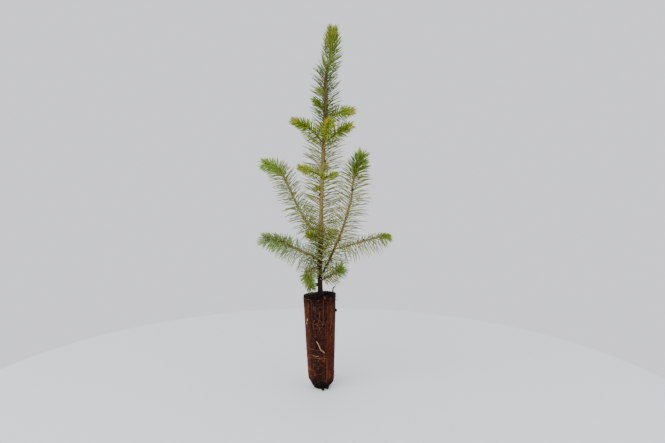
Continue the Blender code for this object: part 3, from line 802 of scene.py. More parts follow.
def tube_arrays(paths, radii, corners, across, flatness=1.0, pointed=True):
    """Closed tubes along paths of equal count: their points, and the faces of each tube."""
    count, rings = paths.shape[:2]
    ahead = unit(np.gradient(paths, axis=1))
    across = across[:, None] if across.ndim == 2 else across
    first = unit(across - (across * ahead).sum(2, keepdims=True) * ahead)
    second = np.cross(ahead, first)
    turn = np.arange(corners) * 2 * math.pi / corners
    spokes = first[:, :, None] * np.cos(turn)[:, None]
    spokes = spokes + flatness * second[:, :, None] * np.sin(turn)[:, None]
    rows = paths[:, :, None] + spokes * radii[:, :, None, None]
    full_rings = rings - 1 if pointed else rings
    points = rows[:, :full_rings].reshape(count, -1, 3)
    if pointed:
        points = np.concatenate([points, paths[:, -1:]], 1)
    faces = [tuple(range(corners))[::-1]]
    for ring in range(full_rings - 1):
        for i in range(corners):
            j = (i + 1) % corners
            a, b = ring * corners, (ring + 1) * corners
            faces.append((a + i, a + j, b + j, b + i))
    top = (full_rings - 1) * corners
    if pointed:
        faces += [(top + i, top + (i + 1) % corners, top + corners) for i in range(corners)]
    else:
        faces.append(tuple(top + i for i in range(corners)))
    return points, faces


def joined_mesh(name, points, faces, slots, materials, smooth=False):
    """One mesh of many copies of the same faces. Slots say which material each copy takes."""
    count, size = points.shape[:2]
    everything = [tuple(c * size + i for i in face) for c in range(count) for face in faces]
    mesh = bpy.data.meshes.new(name)
    mesh.from_pydata(points.reshape(-1, 3), [], everything)
    for material in materials:
        mesh.materials.append(material)
    mesh.polygons.foreach_set("material_index", np.repeat(slots, len(faces)).astype(np.int32))
    mesh.polygons.foreach_set("use_smooth", np.full(len(everything), smooth))
    mesh.update()
    piece = bpy.data.objects.new(name, mesh)
    bpy.context.scene.collection.objects.link(piece)
    return piece


def limb_tube(name, route, at, radii, corners):
    """Closed tube along a route, drawn as a curve with a radius at each point, as a mesh."""
    deselect()
    bpy.ops.curve.primitive_nurbs_path_add(location=(0, 0, 0))
    guide = bpy.context.object
    guide.name = name
    curve = guide.data
    curve.splines.clear()
    curve.dimensions = "3D"
    curve.bevel_depth = 1.0
    curve.bevel_resolution = (corners - 4) // 2  # Blender makes 4 corners and 2 more for each
    curve.resolution_u = 1
    curve.use_fill_caps = True
    spline = curve.splines.new("POLY")
    spline.points.add(len(at) - 1)
    for point, place, radius in zip(spline.points, places_on(route, at)[0], radii):
        point.co = (*place, 1.0)
        point.radius = radius
    bpy.ops.object.convert(target="MESH")
    bpy.ops.object.mode_set(mode="EDIT")
    bpy.ops.mesh.select_all(action="SELECT")
    bpy.ops.mesh.remove_doubles(threshold=0.005 * MM)
    bpy.ops.mesh.normals_make_consistent(inside=False)
    bpy.ops.object.mode_set(mode="OBJECT")
    return bpy.context.object


def mesh_points(mesh):
    """Places of a mesh's points."""
    points = np.empty(len(mesh.vertices) * 3)
    mesh.vertices.foreach_get("co", points)
    return points.reshape(-1, 3)


def primitive_arrays():
    """Points and faces of the primitive that was just added, which is taken away again."""
    primitive = bpy.context.object
    points = mesh_points(primitive.data)
    faces = [tuple(face.vertices) for face in primitive.data.polygons]
    bpy.data.objects.remove(primitive)
    return points, faces


def weather(piece, route, depths, ages, crack, sizes):
    """Raise the bark's relief, and note at every point the age of growth, from foot to tip."""
    points = mesh_points(piece.data)
    along = distances(route)
    gaps = np.linalg.norm(points[:, None] - route[None, ::2], axis=2)
    nearest = gaps.argmin(1) * 2
    outward = unit(points - route[nearest])
    at = along[nearest]
    lift = np.empty(len(points))
    for i, (x, y, z) in enumerate(points):
        lift[i] = noise.fractal(Vector((x, y, z * CRACK_SLIMNESS)) / crack, *CRACK_NOISE)
    depth = np.interp(at / MM, *depths) * sizes.bark_relief
    points = points + outward * (lift * depth)[:, None]
    piece.data.vertices.foreach_set("co", points.ravel())
    age = ages[0] + (ages[1] - ages[0]) * at / along[-1]
    tone = piece.data.attributes.new("age", "FLOAT", "POINT")
    tone.data.foreach_set("value", age + lift * 0.03)
    piece.data.update()


def finish_piece(piece, nodes=()):
    """Hand a finished piece over: it rides on the one body, and stands for its nodes."""
    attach(piece, "root")
    if nodes:
        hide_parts(*nodes)


# Materials


def add_node(material, kind, inputs=None, stops=None, **settings):
    """Add a node with its settings, its colour stops and its inputs: values, or other sockets."""
    tree = material.node_tree
    node = tree.nodes.new(kind)
    for key, value in settings.items():
        setattr(node, key, value)
    if stops:
        while len(node.color_ramp.elements) < len(stops):
            node.color_ramp.elements.new(0.5)
        for element, (place, colour) in zip(node.color_ramp.elements, stops):
            element.position = place
            element.color = (*hex_colour(colour), 1.0)
    for key, value in (inputs or {}).items():
        if isinstance(value, bpy.types.NodeSocket):
            tree.links.new(value, node.inputs[key])
        else:
            node.inputs[key].default_value = value
    return node


def new_material(name, roughness, colour=None, specular=0.5):
    """Material with a Principled shader, and that shader."""
    material = bpy.data.materials.new(name)
    material.use_nodes = True
    shader = material.node_tree.nodes["Principled BSDF"]
    shader.inputs["Roughness"].default_value = roughness
    if colour:
        shader.inputs["Base Color"].default_value = (*colour, 1.0)
        material.diffuse_color = (*colour, 1.0)
    shader.inputs["Specular IOR Level"].default_value = specular
    return material, shader


def mottled(material, colour, place, grain, low, high):
    """That colour as noise with this grain, in mm, shades it from low to high."""
    flecks = add_node(
        material, "ShaderNodeTexNoise",
        {"Vector": place, "Scale": 1 / (grain * MM), "Detail": 5.0, "Roughness": 0.65},
    ).outputs["Fac"]
    shade = add_node(
        material, "ShaderNodeMapRange",
        {"Value": flecks, "From Min": 0.35, "From Max": 0.65, "To Min": low, "To Max": high},
    ).outputs["Result"]
    return add_node(
        material, "ShaderNodeVectorMath", {0: colour, 1: shade}, operation="MULTIPLY"
    ).outputs["Vector"]


def finish_surface(material, shader, colour, place, grain, depth):
    """Give the shader this colour, and bumps with this grain and depth, in mm."""
    grit = add_node(
        material, "ShaderNodeTexNoise",
        {"Vector": place, "Scale": 1 / (grain * MM), "Detail": 3.0},
    ).outputs["Fac"]
    bump = add_node(
        material, "ShaderNodeBump", {"Height": grit, "Strength": 0.6, "Distance": depth * MM}
    ).outputs["Normal"]
    material.node_tree.links.new(colour, shader.inputs["Base Color"])
    material.node_tree.links.new(bump, shader.inputs["Normal"])


def speckled_material(name, colour, roughness, specular, grain):
    """One colour that is darker in its pores and paler on its fibres."""
    material, shader = new_material(name, roughness, specular=specular)
    place = add_node(material, "ShaderNodeTexCoord").outputs["Object"]
    finish_surface(
        material, shader, mottled(material, colour, place, grain, 0.55, 1.35), place, grain, 0.1
    )
    material.diffuse_color = (*colour, 1.0)
    return material


def bark_material(name, stops, roughness):
    """Living bark: thin, dull and finely cracked lengthways, greener where growth is newer."""
    material, shader = new_material(name, roughness, specular=0.2)
    place = add_node(material, "ShaderNodeTexCoord").outputs["Object"]
    age = add_node(material, "ShaderNodeAttribute", attribute_name="age").outputs["Fac"]
    tone = add_node(material, "ShaderNodeValToRGB", {"Fac": age}, stops).outputs["Color"]
    # Flecks about 1 mm wide and 3 mm long and finer cracks, which run along the stem
    drawn = add_node(
        material, "ShaderNodeMapping", {"Vector": place, "Scale": (1.0, 1.0, 0.4)}
    ).outputs["Vector"]
    colour = mottled(material, tone, drawn, 1.1, 0.5, 1.36)
    finish_surface(material, shader, colour, drawn, 0.4, 0.15)
    return material


def patched(material, tone, place, name, grain, stretch, span, most):
    """That tone with the colour of this name where noise with this grain, in mm, is in its span."""
    drawn = add_node(
        material, "ShaderNodeMapping", {"Vector": place, "Scale": (1.0, 1.0, stretch)}
    ).outputs["Vector"]
    spread = add_node(
        material, "ShaderNodeTexNoise",
        {"Vector": drawn, "Scale": 1 / (grain * MM), "Detail": 4.0, "Roughness": 0.68},
    ).outputs["Fac"]
    share = add_node(
        material, "ShaderNodeMapRange",
        {"Value": spread, "From Min": span[0], "From Max": span[1], "To Max": most},
    ).outputs["Result"]
    return add_node(
        material, "ShaderNodeMix", {0: share, 6: tone, 7: (*chosen(name), 1.0)}, data_type="RGBA"
    ).outputs[2]


def slit_shade(material, side):
    """How much light is left by the painted shade in each slit's groove, within 1 mm of its middle."""
    first = (SLIT_FIRST_HEADING + 180) / 360
    turned = add_node(
        material, "ShaderNodeMath", {0: side, 1: float(SLIT_COUNT), 2: -first * SLIT_COUNT},
        operation="MULTIPLY_ADD",
    ).outputs["Value"]
    off_slit = add_node(
        material, "ShaderNodeMath", {0: turned, 1: 0.5}, operation="PINGPONG"
    ).outputs["Value"]
    return add_node(
        material, "ShaderNodeMapRange", {"Value": off_slit, "From Max": 0.05, "To Min": 0.16}
    ).outputs["Result"]


def peat_material():
    """Damp peat bound by roots: dark and crumbly, redder where the root mat is dense, with painted shade
    in its slits.
    """
    material, shader = new_material("compressed_peat_with_roots", 0.9, specular=0.12)
    place = add_node(material, "ShaderNodeTexCoord").outputs["Object"]
    # Which side of the plug a point is on, as a share of a turn that starts at -X
    side = add_node(
        material, "ShaderNodeTexGradient", {"Vector": place}, gradient_type="RADIAL"
    ).outputs["Fac"]
    tone = add_node(material, "ShaderNodeValToRGB", {"Fac": side}, PEAT_FACES).outputs["Color"]
    # Lengthways streaks where fine roots lie close together, then cut ends and curls of roots
    tone = patched(material, tone, place, "root_mat", 1.613, 0.4, (0.5, 0.75), 0.36)
    tone = patched(material, tone, place, "root_ends", 1.316, 1.0, (0.57, 0.67), 0.72)
    # Darker on top, near the rim and low down
    height = add_node(material, "ShaderNodeSeparateXYZ", {"Vector": place}).outputs["Z"]
    share = add_node(
        material, "ShaderNodeMapRange", {"Value": height, "From Max": PLUG_HEIGHT}
    ).outputs["Result"]
    bare = add_node(material, "ShaderNodeValToRGB", {"Fac": share}, PEAT_HEIGHTS).outputs["Color"]
    # Multiply in the height darkening, then the painted shade in the groove of each slit
    for shade in (bare, slit_shade(material, side)):
        tone = add_node(
            material, "ShaderNodeVectorMath", {0: tone, 1: shade}, operation="MULTIPLY"
        ).outputs["Vector"]
    # Crumbs of 1 to 3 mm
    colour = mottled(material, tone, place, 1.9, 0.26, 1.5)
    finish_surface(material, shader, colour, place, 0.8, 0.4)
    return material


def needle_material(name, colour):
    """Waxy living needle: its skin is a little glossy and its colour even."""
    return new_material("needle_" + name, 0.5, colour, specular=0.3)[0]


def root_material(name):
    """Young root: fibrous, dull and paler on its raised fibres."""
    return speckled_material(name, chosen(name), 0.75, 0.2, 0.7)


def crumb_material(name):
    """Crumb of peat or grit: matt, with darker pores."""
    return speckled_material(name, chosen(name), 0.9, 0.15, 0.5)


def bud_material(name, roughness):
    """Dry overlapping bud scales, glazed with resin where they are fresh."""
    return speckled_material(name, chosen(name), roughness, 0.35, 0.7)


# Root plug


def plug_radius(up):
    """Radius of the plug's side at a height above its underside."""
    heights = (0, PLUG_CHAMFER_HEIGHT, PLUG_HEIGHT)
    return np.interp(up, heights, (PLUG_FOOT_RADIUS, PLUG_LOW_RADIUS, PLUG_TOP_RADIUS))


def slit_share(heading):
    """How near a heading is to the middle of a slit: one there, and almost zero outside it."""
    step = 2 * math.pi / SLIT_COUNT
    off = (heading - math.radians(SLIT_FIRST_HEADING) + step / 2) % step - step / 2
    return np.exp(-((off * PLUG_TOP_RADIUS / (SLIT_WIDTH / 2)) ** 2))


def on_plug(heading, up, out):
    """Places on the plug's side by heading and height, this far outside it."""
    radius = plug_radius(up) + out
    across = radius * np.cos(heading) + PLUG_LEAN * up / PLUG_HEIGHT
    return np.stack([across, radius * np.sin(heading), up], -1)


def make_plug(sizes):
    """Spin the plug from its outline, close it, and press in the slits, crumbs and hollows."""
    outline = [(PLUG_FOOT_RADIUS, 0), (PLUG_LOW_RADIUS, PLUG_CHAMFER_HEIGHT)]
    for turn in (0, 30, 60, 90):
        inward = PLUG_RIM_ROUNDING * (1 - math.cos(math.radians(turn)))
        down = PLUG_RIM_ROUNDING * (1 - math.sin(math.radians(turn)))
        outline.append((PLUG_TOP_RADIUS - inward, PLUG_HEIGHT - down))
    outline.append((0, PLUG_HEIGHT))
    deselect()
    bpy.ops.mesh.primitive_plane_add(size=1 * MM)
    plug = bpy.context.object
    plug.name = "peat_plug"
    bpy.ops.object.mode_set(mode="EDIT")
    bpy.ops.mesh.select_all(action="SELECT")
    bpy.ops.mesh.merge(type="CENTER")
    before = (0, 0)
    for across, up in outline:
        steps = max(1, round(math.dist(before, (across, up)) / PLUG_STEP))
        for _ in range(steps):
            move = ((across - before[0]) / steps, 0, (up - before[1]) / steps)
            bpy.ops.mesh.extrude_region_move(TRANSFORM_OT_translate={"value": move})
        before = (across, up)
    bpy.ops.mesh.select_all(action="SELECT")
    bpy.ops.mesh.spin(steps=PLUG_FACES_ROUND, angle=2 * math.pi, center=(0, 0, 0), axis=(0, 0, 1))
    bpy.ops.mesh.select_all(action="SELECT")
    bpy.ops.mesh.remove_doubles(threshold=0.01 * MM)
    bpy.ops.mesh.normals_make_consistent(inside=False)
    bpy.ops.object.mode_set(mode="OBJECT")
    plug.data.vertices.foreach_set("co", worn_plug(mesh_points(plug.data), sizes).ravel())
    plug.data.shade_smooth()
    plug.data.materials.append(peat_material())
    finish_piece(plug, ["root_plug"])


def worn_plug(points, sizes):
    """The plug's points with its crumbs, hollows, slits and lean."""
    heading = np.arctan2(points[:, 1], points[:, 0])
    across = np.hypot(points[:, 0], points[:, 1])
    up = points[:, 2]
    lift = np.array([noise.fractal(Vector(p) / PEAT_CRUMB, *PEAT_NOISE) for p in points])
    clods = np.array([noise.noise(Vector(p) / PEAT_CLOD) for p in points]) * MM
    lift *= sizes.peat_relief
    # The side: smooth at the underside
    out = lift + clods * 0.3 - sizes.slit_depth * slit_share(heading) * (up > 5 * MM)
    out *= ramp(up, 0, 3 * MM) * ramp(across, 4 * MM, 12 * MM)
    out = np.minimum(out, PEAT_MOST_PROUD)
    grown = np.maximum(across + out * (across > 6 * MM), 0)
    # The top: sunk within its rim, which rises towards +X
    on_top = up > PLUG_HEIGHT - 0.3 * MM
    rise = np.where(on_top, lift * 2.4 + clods * 1.1 - PEAT_TOP_SINK, 0)
    rise += ramp(up, PLUG_HEIGHT - PLUG_RIM_ROUNDING, PLUG_HEIGHT) * lift
    rise += RIM_LIP * (on_top & (across > PLUG_TOP_RADIUS - 3 * MM))
    points = np.stack([grown * np.cos(heading), grown * np.sin(heading), up + rise], 1)
    points[:, 0] += PLUG_LEAN * ramp(up, 0, PLUG_HEIGHT)
    toward = np.clip(points[:, 0] / PLUG_TOP_RADIUS, -1, 1)
    points[:, 2] += RIM_RISE * (1 + toward) * ramp(up, 0.9 * PLUG_HEIGHT, PLUG_HEIGHT)
    # The foot: fuller on the +X side
    low = np.exp(-(((up - 6 * MM) / (5 * MM)) ** 2)) * np.clip(toward * 1.6, 0, 1)
    points[:, 0] += FOOT_FULLNESS * low
    return points


def root_path(headings, heights, out):
    """Smooth path on the plug's side through these headings, in degrees, and heights, in mm."""
    t = np.linspace(0, 1, len(headings))
    fine = np.linspace(0, 1, ROOT_RINGS)
    heading = np.radians(np.interp(fine, t, headings))
    up = np.interp(fine, t, heights) * MM
    blur = np.array([0.25, 0.5, 0.25])
    for _ in range(2):
        heading[1:-1] = np.convolve(heading, blur, "valid")
        up[1:-1] = np.convolve(up, blur, "valid")
    return on_plug(heading, up, out)


def wandering_root(lies_across, random):
    """A fine root that wanders down the plug's side, or lies across it: path, radii and colour."""
    turn = random.uniform(0, 360)
    upper = random.uniform(*ROOT_STARTS)
    length = from_either(ROOT_RUNS, random)
    sideways = random.normal(0, STRAYING)
    if lies_across:
        length, sideways = random.uniform(*CROSS_RUN), random.normal(0, CROSS_STRAYING)
    stray = np.cumsum(random.normal(0, abs(sideways), ROOT_TURNS))
    heights = np.linspace(upper, max(LOWEST_RUN, upper - length), ROOT_TURNS)
    heights = np.clip(heights + random.normal(0, HEIGHT_JITTER, ROOT_TURNS), *ROOT_HEIGHT_LIMITS)
    size = random.choice(ROOT_RADII, p=ROOT_RADIUS_ODDS) * MM
    path = root_path(turn + stray, heights, size * 0.5 + 0.1 * MM)
    odds = PALE_SIDE_ODDS if PALE_SIDE[0] < turn < PALE_SIDE[1] else ROOT_ODDS
    return path, size * np.linspace(1, 0.55, ROOT_RINGS), random.choice(len(odds), p=odds)


def named_roots():
    """The few thick roots and the hooked one: path, radii and colour of each."""
    names = list(ROOT_COLOURS)
    swell = 0.55 + 0.45 * np.sin(np.linspace(0.5, 2.8, ROOT_RINGS))
    found = []
    for headings, heights, size, colour in NAMED_ROOTS:
        path = root_path(headings, heights, size * 0.55 * MM)
        found.append((path, size * MM * swell, names.index("root_" + colour)))
    hook = np.array(HOOK_ROOT) * MM
    t, fine = np.linspace(0, 1, len(hook)), np.linspace(0, 1, ROOT_RINGS)
    path = np.stack([np.interp(fine, t, hook[:, i]) for i in range(3)], 1)
    radii = HOOK_RADIUS * MM * np.linspace(1.0, 0.75, ROOT_RINGS)
    found.append((path, radii, names.index("root_black")))
    return found


def loose_fibre(turn, up, length, rise, random):
    """A fibre that stands off the plug's side and droops: path, radii and colour."""
    start = on_plug(math.radians(turn), up * MM, -0.1 * MM)
    outward = unit_vector(rise, turn + random.uniform(-FIBRE_SWING, FIBRE_SWING))
    along = np.linspace(0, length, ROOT_RINGS)[:, None] * MM
    droop = -(along**2) * random.uniform(*FIBRE_DROOP) * np.array([0, 0, 1])
    radii = random.uniform(*FIBRE_RADII) * MM * np.linspace(1, 0.6, ROOT_RINGS)
    return start + outward * along + droop, radii, random.choice(4)


def make_roots(sizes):
    """Fine roots that wander over the plug's side, the few thick ones and loose fibres."""
    random = np.random.default_rng([SEED, 90])
    count = sizes.root_count
    roots = [wandering_root(i % CROSS_ROOT_EVERY == 0, random) for i in range(count)]
    roots += named_roots()
    fibres = list(LOOSE_FIBRES)
    for _ in range(FIBRE_COUNT):
        up = from_either(FIBRE_HEIGHTS, random)
        length, rise = random.uniform(*FIBRE_LENGTHS), random.uniform(*FIBRE_RISES)
        fibres.append((random.uniform(0, 360), up, length, rise))
    roots += [loose_fibre(*fibre, random) for fibre in fibres]
    paths, radii, slots = (np.array(part) for part in zip(*roots))
    level = paths - np.array([0, 0, 1]) * paths[..., 2:3]
    points, faces = tube_arrays(paths, radii, ROOT_CORNERS, unit(level + 1e-9), pointed=False)
    materials = [root_material(name) for name in ROOT_COLOURS]
    piece = joined_mesh("surface_roots", points, faces, slots, materials, smooth=True)
    finish_piece(piece)


def scattered_crumbs(count, random):
    """Places and radii of crumbs, most on the plug's top and the others on its side."""
    places = []
    for i in range(count):
        turn = random.uniform(0, 2 * math.pi)
        if i % SIDE_CRUMB_EVERY:
            out = (PLUG_TOP_RADIUS - 1.0 * MM) * math.sqrt(random.uniform(0.02, 1))
            across = (out * math.cos(turn) + PLUG_LEAN, out * math.sin(turn))
            size = random.uniform(*TOP_CRUMB_RADII) * MM
            places.append((*across, PLUG_HEIGHT - 0.5 * MM, size))
        else:
            up = from_either(SIDE_CRUMB_HEIGHTS, random) * MM
            size = random.uniform(*SIDE_CRUMB_RADII) * MM
            places.append((*on_plug(turn, up, -0.1 * MM), size))
    return places


def make_crumbs(sizes):
    """Crumbs of peat and grit on the plug's top, its side and its foot."""
    random = np.random.default_rng([SEED, 91])
    deselect()
    bpy.ops.mesh.primitive_ico_sphere_add(subdivisions=2, radius=1.0)
    shape, faces = primitive_arrays()
    scattered = scattered_crumbs(sizes.crumb_count, random)
    places = np.concatenate([scattered, np.array(PLACED_CRUMBS) * MM])
    copies, slots = [], []
    for i, (*centre, size) in enumerate(places):
        stretch = random.uniform(*CRUMB_STRETCH, 3)
        offset = Vector((i * 3.7, 0, 0))
        bumps = np.array([noise.noise(Vector(p * 1.4) + offset) for p in shape])
        copies.append(centre + shape * (1 + 0.45 * bumps[:, None]) * stretch * size)
        placed = i >= len(scattered)
        slots.append(0 if placed else random.choice(len(CRUMB_ODDS), p=CRUMB_ODDS))
    copies = np.array(copies)
    copies[..., 2] = np.maximum(copies[..., 2], 0.05 * MM)
    materials = [crumb_material(name) for name in CRUMB_COLOURS]
    crumbs = joined_mesh("peat_crumbs", copies, faces, slots, materials, smooth=True)
    finish_piece(crumbs)


# Bark


def make_trunk(sizes):
    """The trunk as one tapered stem, with cracked bark at its foot and smooth above."""
    route = ROUTES["trunk"]
    at = np.linspace(0, distances(route)[-1], TRUNK_RINGS)
    radii = trunk_radius(at) + sizes.leader_bark * np.interp(at / MM, *BARK_FULLNESS)
    for limb in LIMBS:
        if limb.carrier == "trunk":
            node = distance_at_height(route, limb.at * MM)
            near = np.exp(-(((at - node) / COLLAR_REACH) ** 2))
            radii = radii + limb.thick[0] * NODE_SWELLING * MM * near
    trunk = limb_tube("trunk_bark", route, at, radii, TRUNK_CORNERS)
    weather(trunk, route, TRUNK_DEPTHS, (0, 1), TRUNK_CRACK, sizes)
    trunk.data.shade_smooth()
    trunk.data.materials.append(bark_material("spruce_trunk_bark", TRUNK_COLOURS, 0.72))
    finish_piece(trunk, ["trunk"])


def make_boughs(sizes):
    """Every bough with the twig it runs out into, as one stem each, joined into one mesh."""
    stems = []
    for limb in LIMBS:
        route = ROUTES[limb.name]
        length = distances(route)[-1]
        rings = max(FEWEST_RINGS, round(length / TWIG_STEP))
        at = np.linspace(TWIG_START, length - TWIG_SHORTFALL, rings)
        stem = limb_tube("stem_" + limb.name, route, at, limb_radius(limb, at), TWIG_CORNERS)
        weather(stem, route, BOUGH_DEPTHS, limb.age, BOUGH_CRACK, sizes)
        stems.append(stem)
    deselect()
    for stem in stems:
        stem.select_set(True)
    bpy.context.view_layer.objects.active = stems[0]
    bpy.ops.object.join()
    boughs = bpy.context.object
    boughs.name = boughs.data.name = "bough_bark"
    boughs.data.shade_smooth()
    boughs.data.materials.append(bark_material("spruce_twig_bark", TWIG_COLOURS, 0.68))
    nodes = ["bough_" + limb.name for limb in LIMBS]
    finish_piece(boughs, [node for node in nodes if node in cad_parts])


def bud_shape():
    """A small egg of overlapping scales, one unit long: its points and faces."""
    deselect()
    bpy.ops.mesh.primitive_uv_sphere_add(segments=18, ring_count=14, radius=1.0)
    shape, faces = primitive_arrays()
    columns = np.arctan2(shape[:, 1], shape[:, 0]) / (2 * math.pi) * SCALE_COLUMNS
    row = (shape[:, 2] + 1) * SCALE_ROWS
    edge = np.abs(((columns + np.floor(row) * 0.5) % 1) - 0.5) * 2
    scales = SCALE_LIFT * (row % 1) * (1 - 0.5 * edge)
    shape = shape * np.array(BUD_SQUEEZE)
    taper = BUD_TAPER * np.clip(shape[:, 2] * 2, 0, 1)
    shape[:, :2] *= (1 + scales - taper)[:, None]
    return shape, faces


def placed_bud(shape, place, upward, length):
    """Points of a bud of this length in mm, which stands at a place and points upward."""
    first, second = (part[0] for part in crossways(upward[None]))
    risen = shape * length * MM + [0, 0, BUD_RISE * length * MM]
    return place + risen @ np.stack([first, second, upward])


def make_buds():
    """Winter buds: fresh ones at every tip, and dark dormant ones at the nodes."""
    shape, faces = bud_shape()
    copies = []
    for name, length in [*((limb.name, TIP_BUD) for limb in LIMBS), ("trunk", LEADER_BUD)]:
        route = ROUTES[name]
        place, ahead = (part[0] for part in places_on(route, [distances(route)[-1]]))
        copies.append(placed_bud(shape, place, ahead, length))
    slots = [0] * len(copies) + [1] * len(BUDS)
    for name, at, degrees, length in BUDS:
        place, ahead = (part[0] for part in places_on(ROUTES[name], [at * MM]))
        aside, across = (part[0] for part in crossways(ahead[None]))
        turn = math.radians(degrees)
        side = aside * math.cos(turn) + across * math.sin(turn)
        place = place + side * stem_radius(name, at * MM) * DORMANT_SINK
        copies.append(placed_bud(shape, place, unit(ahead * DORMANT_LEAN + side), length))
    materials = [bud_material("bud_scales", 0.5), bud_material("dormant_bud", 0.65)]
    buds = joined_mesh("buds", np.array(copies), faces, slots, materials, smooth=True)
    finish_piece(buds)


# Needles


def tint_materials(names):
    """A material for each of these shades of a colour, and its place among them."""
    materials = []
    for name in names:
        tint, shade = name.rsplit("_", 1)
        colour = [min(1.0, channel * SHADES[int(shade)]) for channel in chosen(tint)]
        found = bpy.data.materials.get("needle_" + name)
        materials.append(found or needle_material(name, colour))
    return materials, {name: i for i, name in enumerate(names)}


def make_needles(sprays):
    """The needles of each slot, joined: slim four-sided needles that bow a little to a point."""
    for slot, members in SLOTS.items():
        paths, widths, sides, tints = (
            np.concatenate([sprays[name][i] for name in members]) for i in range(4)
        )
        names = sorted(set(tints))
        materials, index = tint_materials(names)
        radii = widths[:, None] / 2 * np.array(NEEDLE_PROFILE)
        points, faces = tube_arrays(paths, radii, NEEDLE_CORNERS, sides, NEEDLE_FLATNESS)
        slots = [index[name] for name in tints]
        piece = joined_mesh(slot, points, faces, slots, materials)
        finish_piece(piece, ["needles_" + name for name in members])


def peg_colour(name):
    """Name of the colour of the pegs on this limb or stretch."""
    for members, colour in ((DARK_PEGS, "dark"), (ORANGE_PEGS, "orange"), (GREEN_PEGS, "green")):
        if name in members:
            return f"peg_{colour}_bark"
    return "peg_tan_bark"


def make_pegs(sprays):
    """The small peg that each needle stands on, which runs down into the bark below it."""
    random = np.random.default_rng([SEED, 92])
    paths, widths, sides, tints = [], [], [], []
    for name, (needles, width, _, _, (roots, ahead, side, size)) in sprays.items():
        size = size[:, None]
        foot = roots - ahead * PEG_FOOT + side * size * PEG_SINK
        bend = roots - ahead * PEG_BEND + side * (size + PEG_STANDS_OUT)
        neck = needles[:, 0] * 0.5 + needles[:, 1] * 0.5
        top = needles[:, 1] + (needles[:, 2] - needles[:, 1]) * 0.1
        paths.append(np.stack([foot, bend, neck, top], 1))
        widths.append(width)
        sides.append(side)
        shades = random.integers(len(SHADES), size=len(roots))
        tints += [f"{peg_colour(name)}_{shade}" for shade in shades]
    paths, widths, sides = (np.concatenate(part) for part in (paths, widths, sides))
    radii = widths[:, None] * np.array(PEG_PROFILE)
    points, faces = tube_arrays(paths, radii, NEEDLE_CORNERS, sides, pointed=False)
    materials, index = tint_materials(sorted(set(tints)))
    slots = [index[name] for name in tints]
    pegs = joined_mesh("needle_pegs", points, faces, slots, materials, smooth=True)
    finish_piece(pegs)


# Stage

FLOOR_RADIUS = 0.43
FLOOR_THICKNESS = 12 * MM
FLOOR_GAP = 0.4 * MM
FLOOR_EDGE = 4 * MM
AIR_STRENGTH = 1.3
LIGHT_AIM = (0, 0, 0.22)
LIGHTS = [  # name, place, width in metres and power in watts
    ("window", (-1.0, -1.2, 1.5), 1.8, 30.0),
    ("fill", (1.3, -0.9, 1.0), 1.8, 8.0),
]
CAMERA_PLACE = (0.0133, -0.610, 0.230)
CAMERA_TILT = 86.9  # degrees up from straight down
CAMERA_LENS = 28.15  # mm
CAMERA_SENSOR = 36.0  # mm


def make_floor():
    """A pale, matt floor with a rounded edge."""
    deselect()
    bpy.ops.mesh.primitive_cylinder_add(
        vertices=160, radius=FLOOR_RADIUS, depth=FLOOR_THICKNESS,
        location=(0, 0, -FLOOR_THICKNESS / 2 - FLOOR_GAP),
    )
    floor = bpy.context.object
    floor.name = "floor"
    bpy.ops.object.transform_apply(location=True)
    edge = floor.modifiers.new("edge", "BEVEL")
    edge.width = FLOOR_EDGE
    edge.segments = 3
    bpy.ops.object.modifier_apply(modifier=edge.name)
    floor.data.materials.append(new_material("matt_white_laminate", 0.6, chosen("floor"))[0])


def make_light():
    """Soft light all round, with more from the front left."""
    world = bpy.data.worlds.new("studio")
    world.use_nodes = True
    air = world.node_tree.nodes["Background"]
    air.inputs["Color"].default_value = (*chosen("studio_air"), 1.0)
    air.inputs["Strength"].default_value = AIR_STRENGTH
    bpy.context.scene.world = world
    for name, place, size, power in LIGHTS:
        deselect()
        bpy.ops.object.light_add(type="AREA", location=place)
        light = bpy.context.object
        light.name = name
        light.data.size = size
        light.data.energy = power
        aim = Vector(LIGHT_AIM) - Vector(place)
        light.rotation_euler = aim.to_track_quat("-Z", "Y").to_euler()


def make_camera():
    """The camera, in front of the plant at about half its height, turned a little down."""
    deselect()
    bpy.ops.object.camera_add(location=CAMERA_PLACE, rotation=(math.radians(CAMERA_TILT), 0, 0))
    camera = bpy.context.object
    camera.data.lens = CAMERA_LENS
    camera.data.sensor_width = CAMERA_SENSOR
    camera.data.clip_start = 0.01
    bpy.context.scene.camera = camera


# Add-on


def length_property(name, description, value, most):
    """Length that a user may change, in metres, up to this much."""
    return bpy.props.FloatProperty(
        name=name, description=description, default=value, min=0, max=most,
        subtype="DISTANCE", unit="LENGTH",
    )


def colour_properties(colours, what):
    """A colour that a user may change for each of these named sRGB hex values."""
    return {
        name: bpy.props.FloatVectorProperty(
            name=name.replace("_", " ").capitalize(), description="Colour of " + what,
            default=hex_colour(value), min=0, max=1, size=3, subtype="COLOR",
        )
        for name, value in colours.items()
    }


class SPRUCE_sizes(bpy.types.PropertyGroup):
    """Sizes and counts that change the look of the seedling."""

    needle_width: length_property(
        "Needle width", "Width of a full-sized needle across its middle", 1.12 * MM, 2 * MM
    )
    bark_relief: length_property(
        "Bark relief", "Depth of the cracks in the bark at the trunk's foot", 0.22 * MM, 1 * MM
    )
    leader_bark: length_property(
        "Leader bark", "Thickness of the young bark on the foot of the leader", 0.95 * MM, 2 * MM
    )
    peat_relief: length_property(
        "Peat relief", "Height of the crumbs in the plug's side", 0.36 * MM, 1 * MM
    )
    slit_depth: length_property(
        "Slit depth", "Depth of the marks that the cell's side slits leave", 0.7 * MM, 2 * MM
    )
    root_count: bpy.props.IntProperty(
        name="Fine roots", description="Number of fine roots on the plug's side",
        default=500, min=4, max=600,
    )
    crumb_count: bpy.props.IntProperty(
        name="Crumbs", description="Number of loose crumbs of peat", default=330, min=4, max=1000,
    )


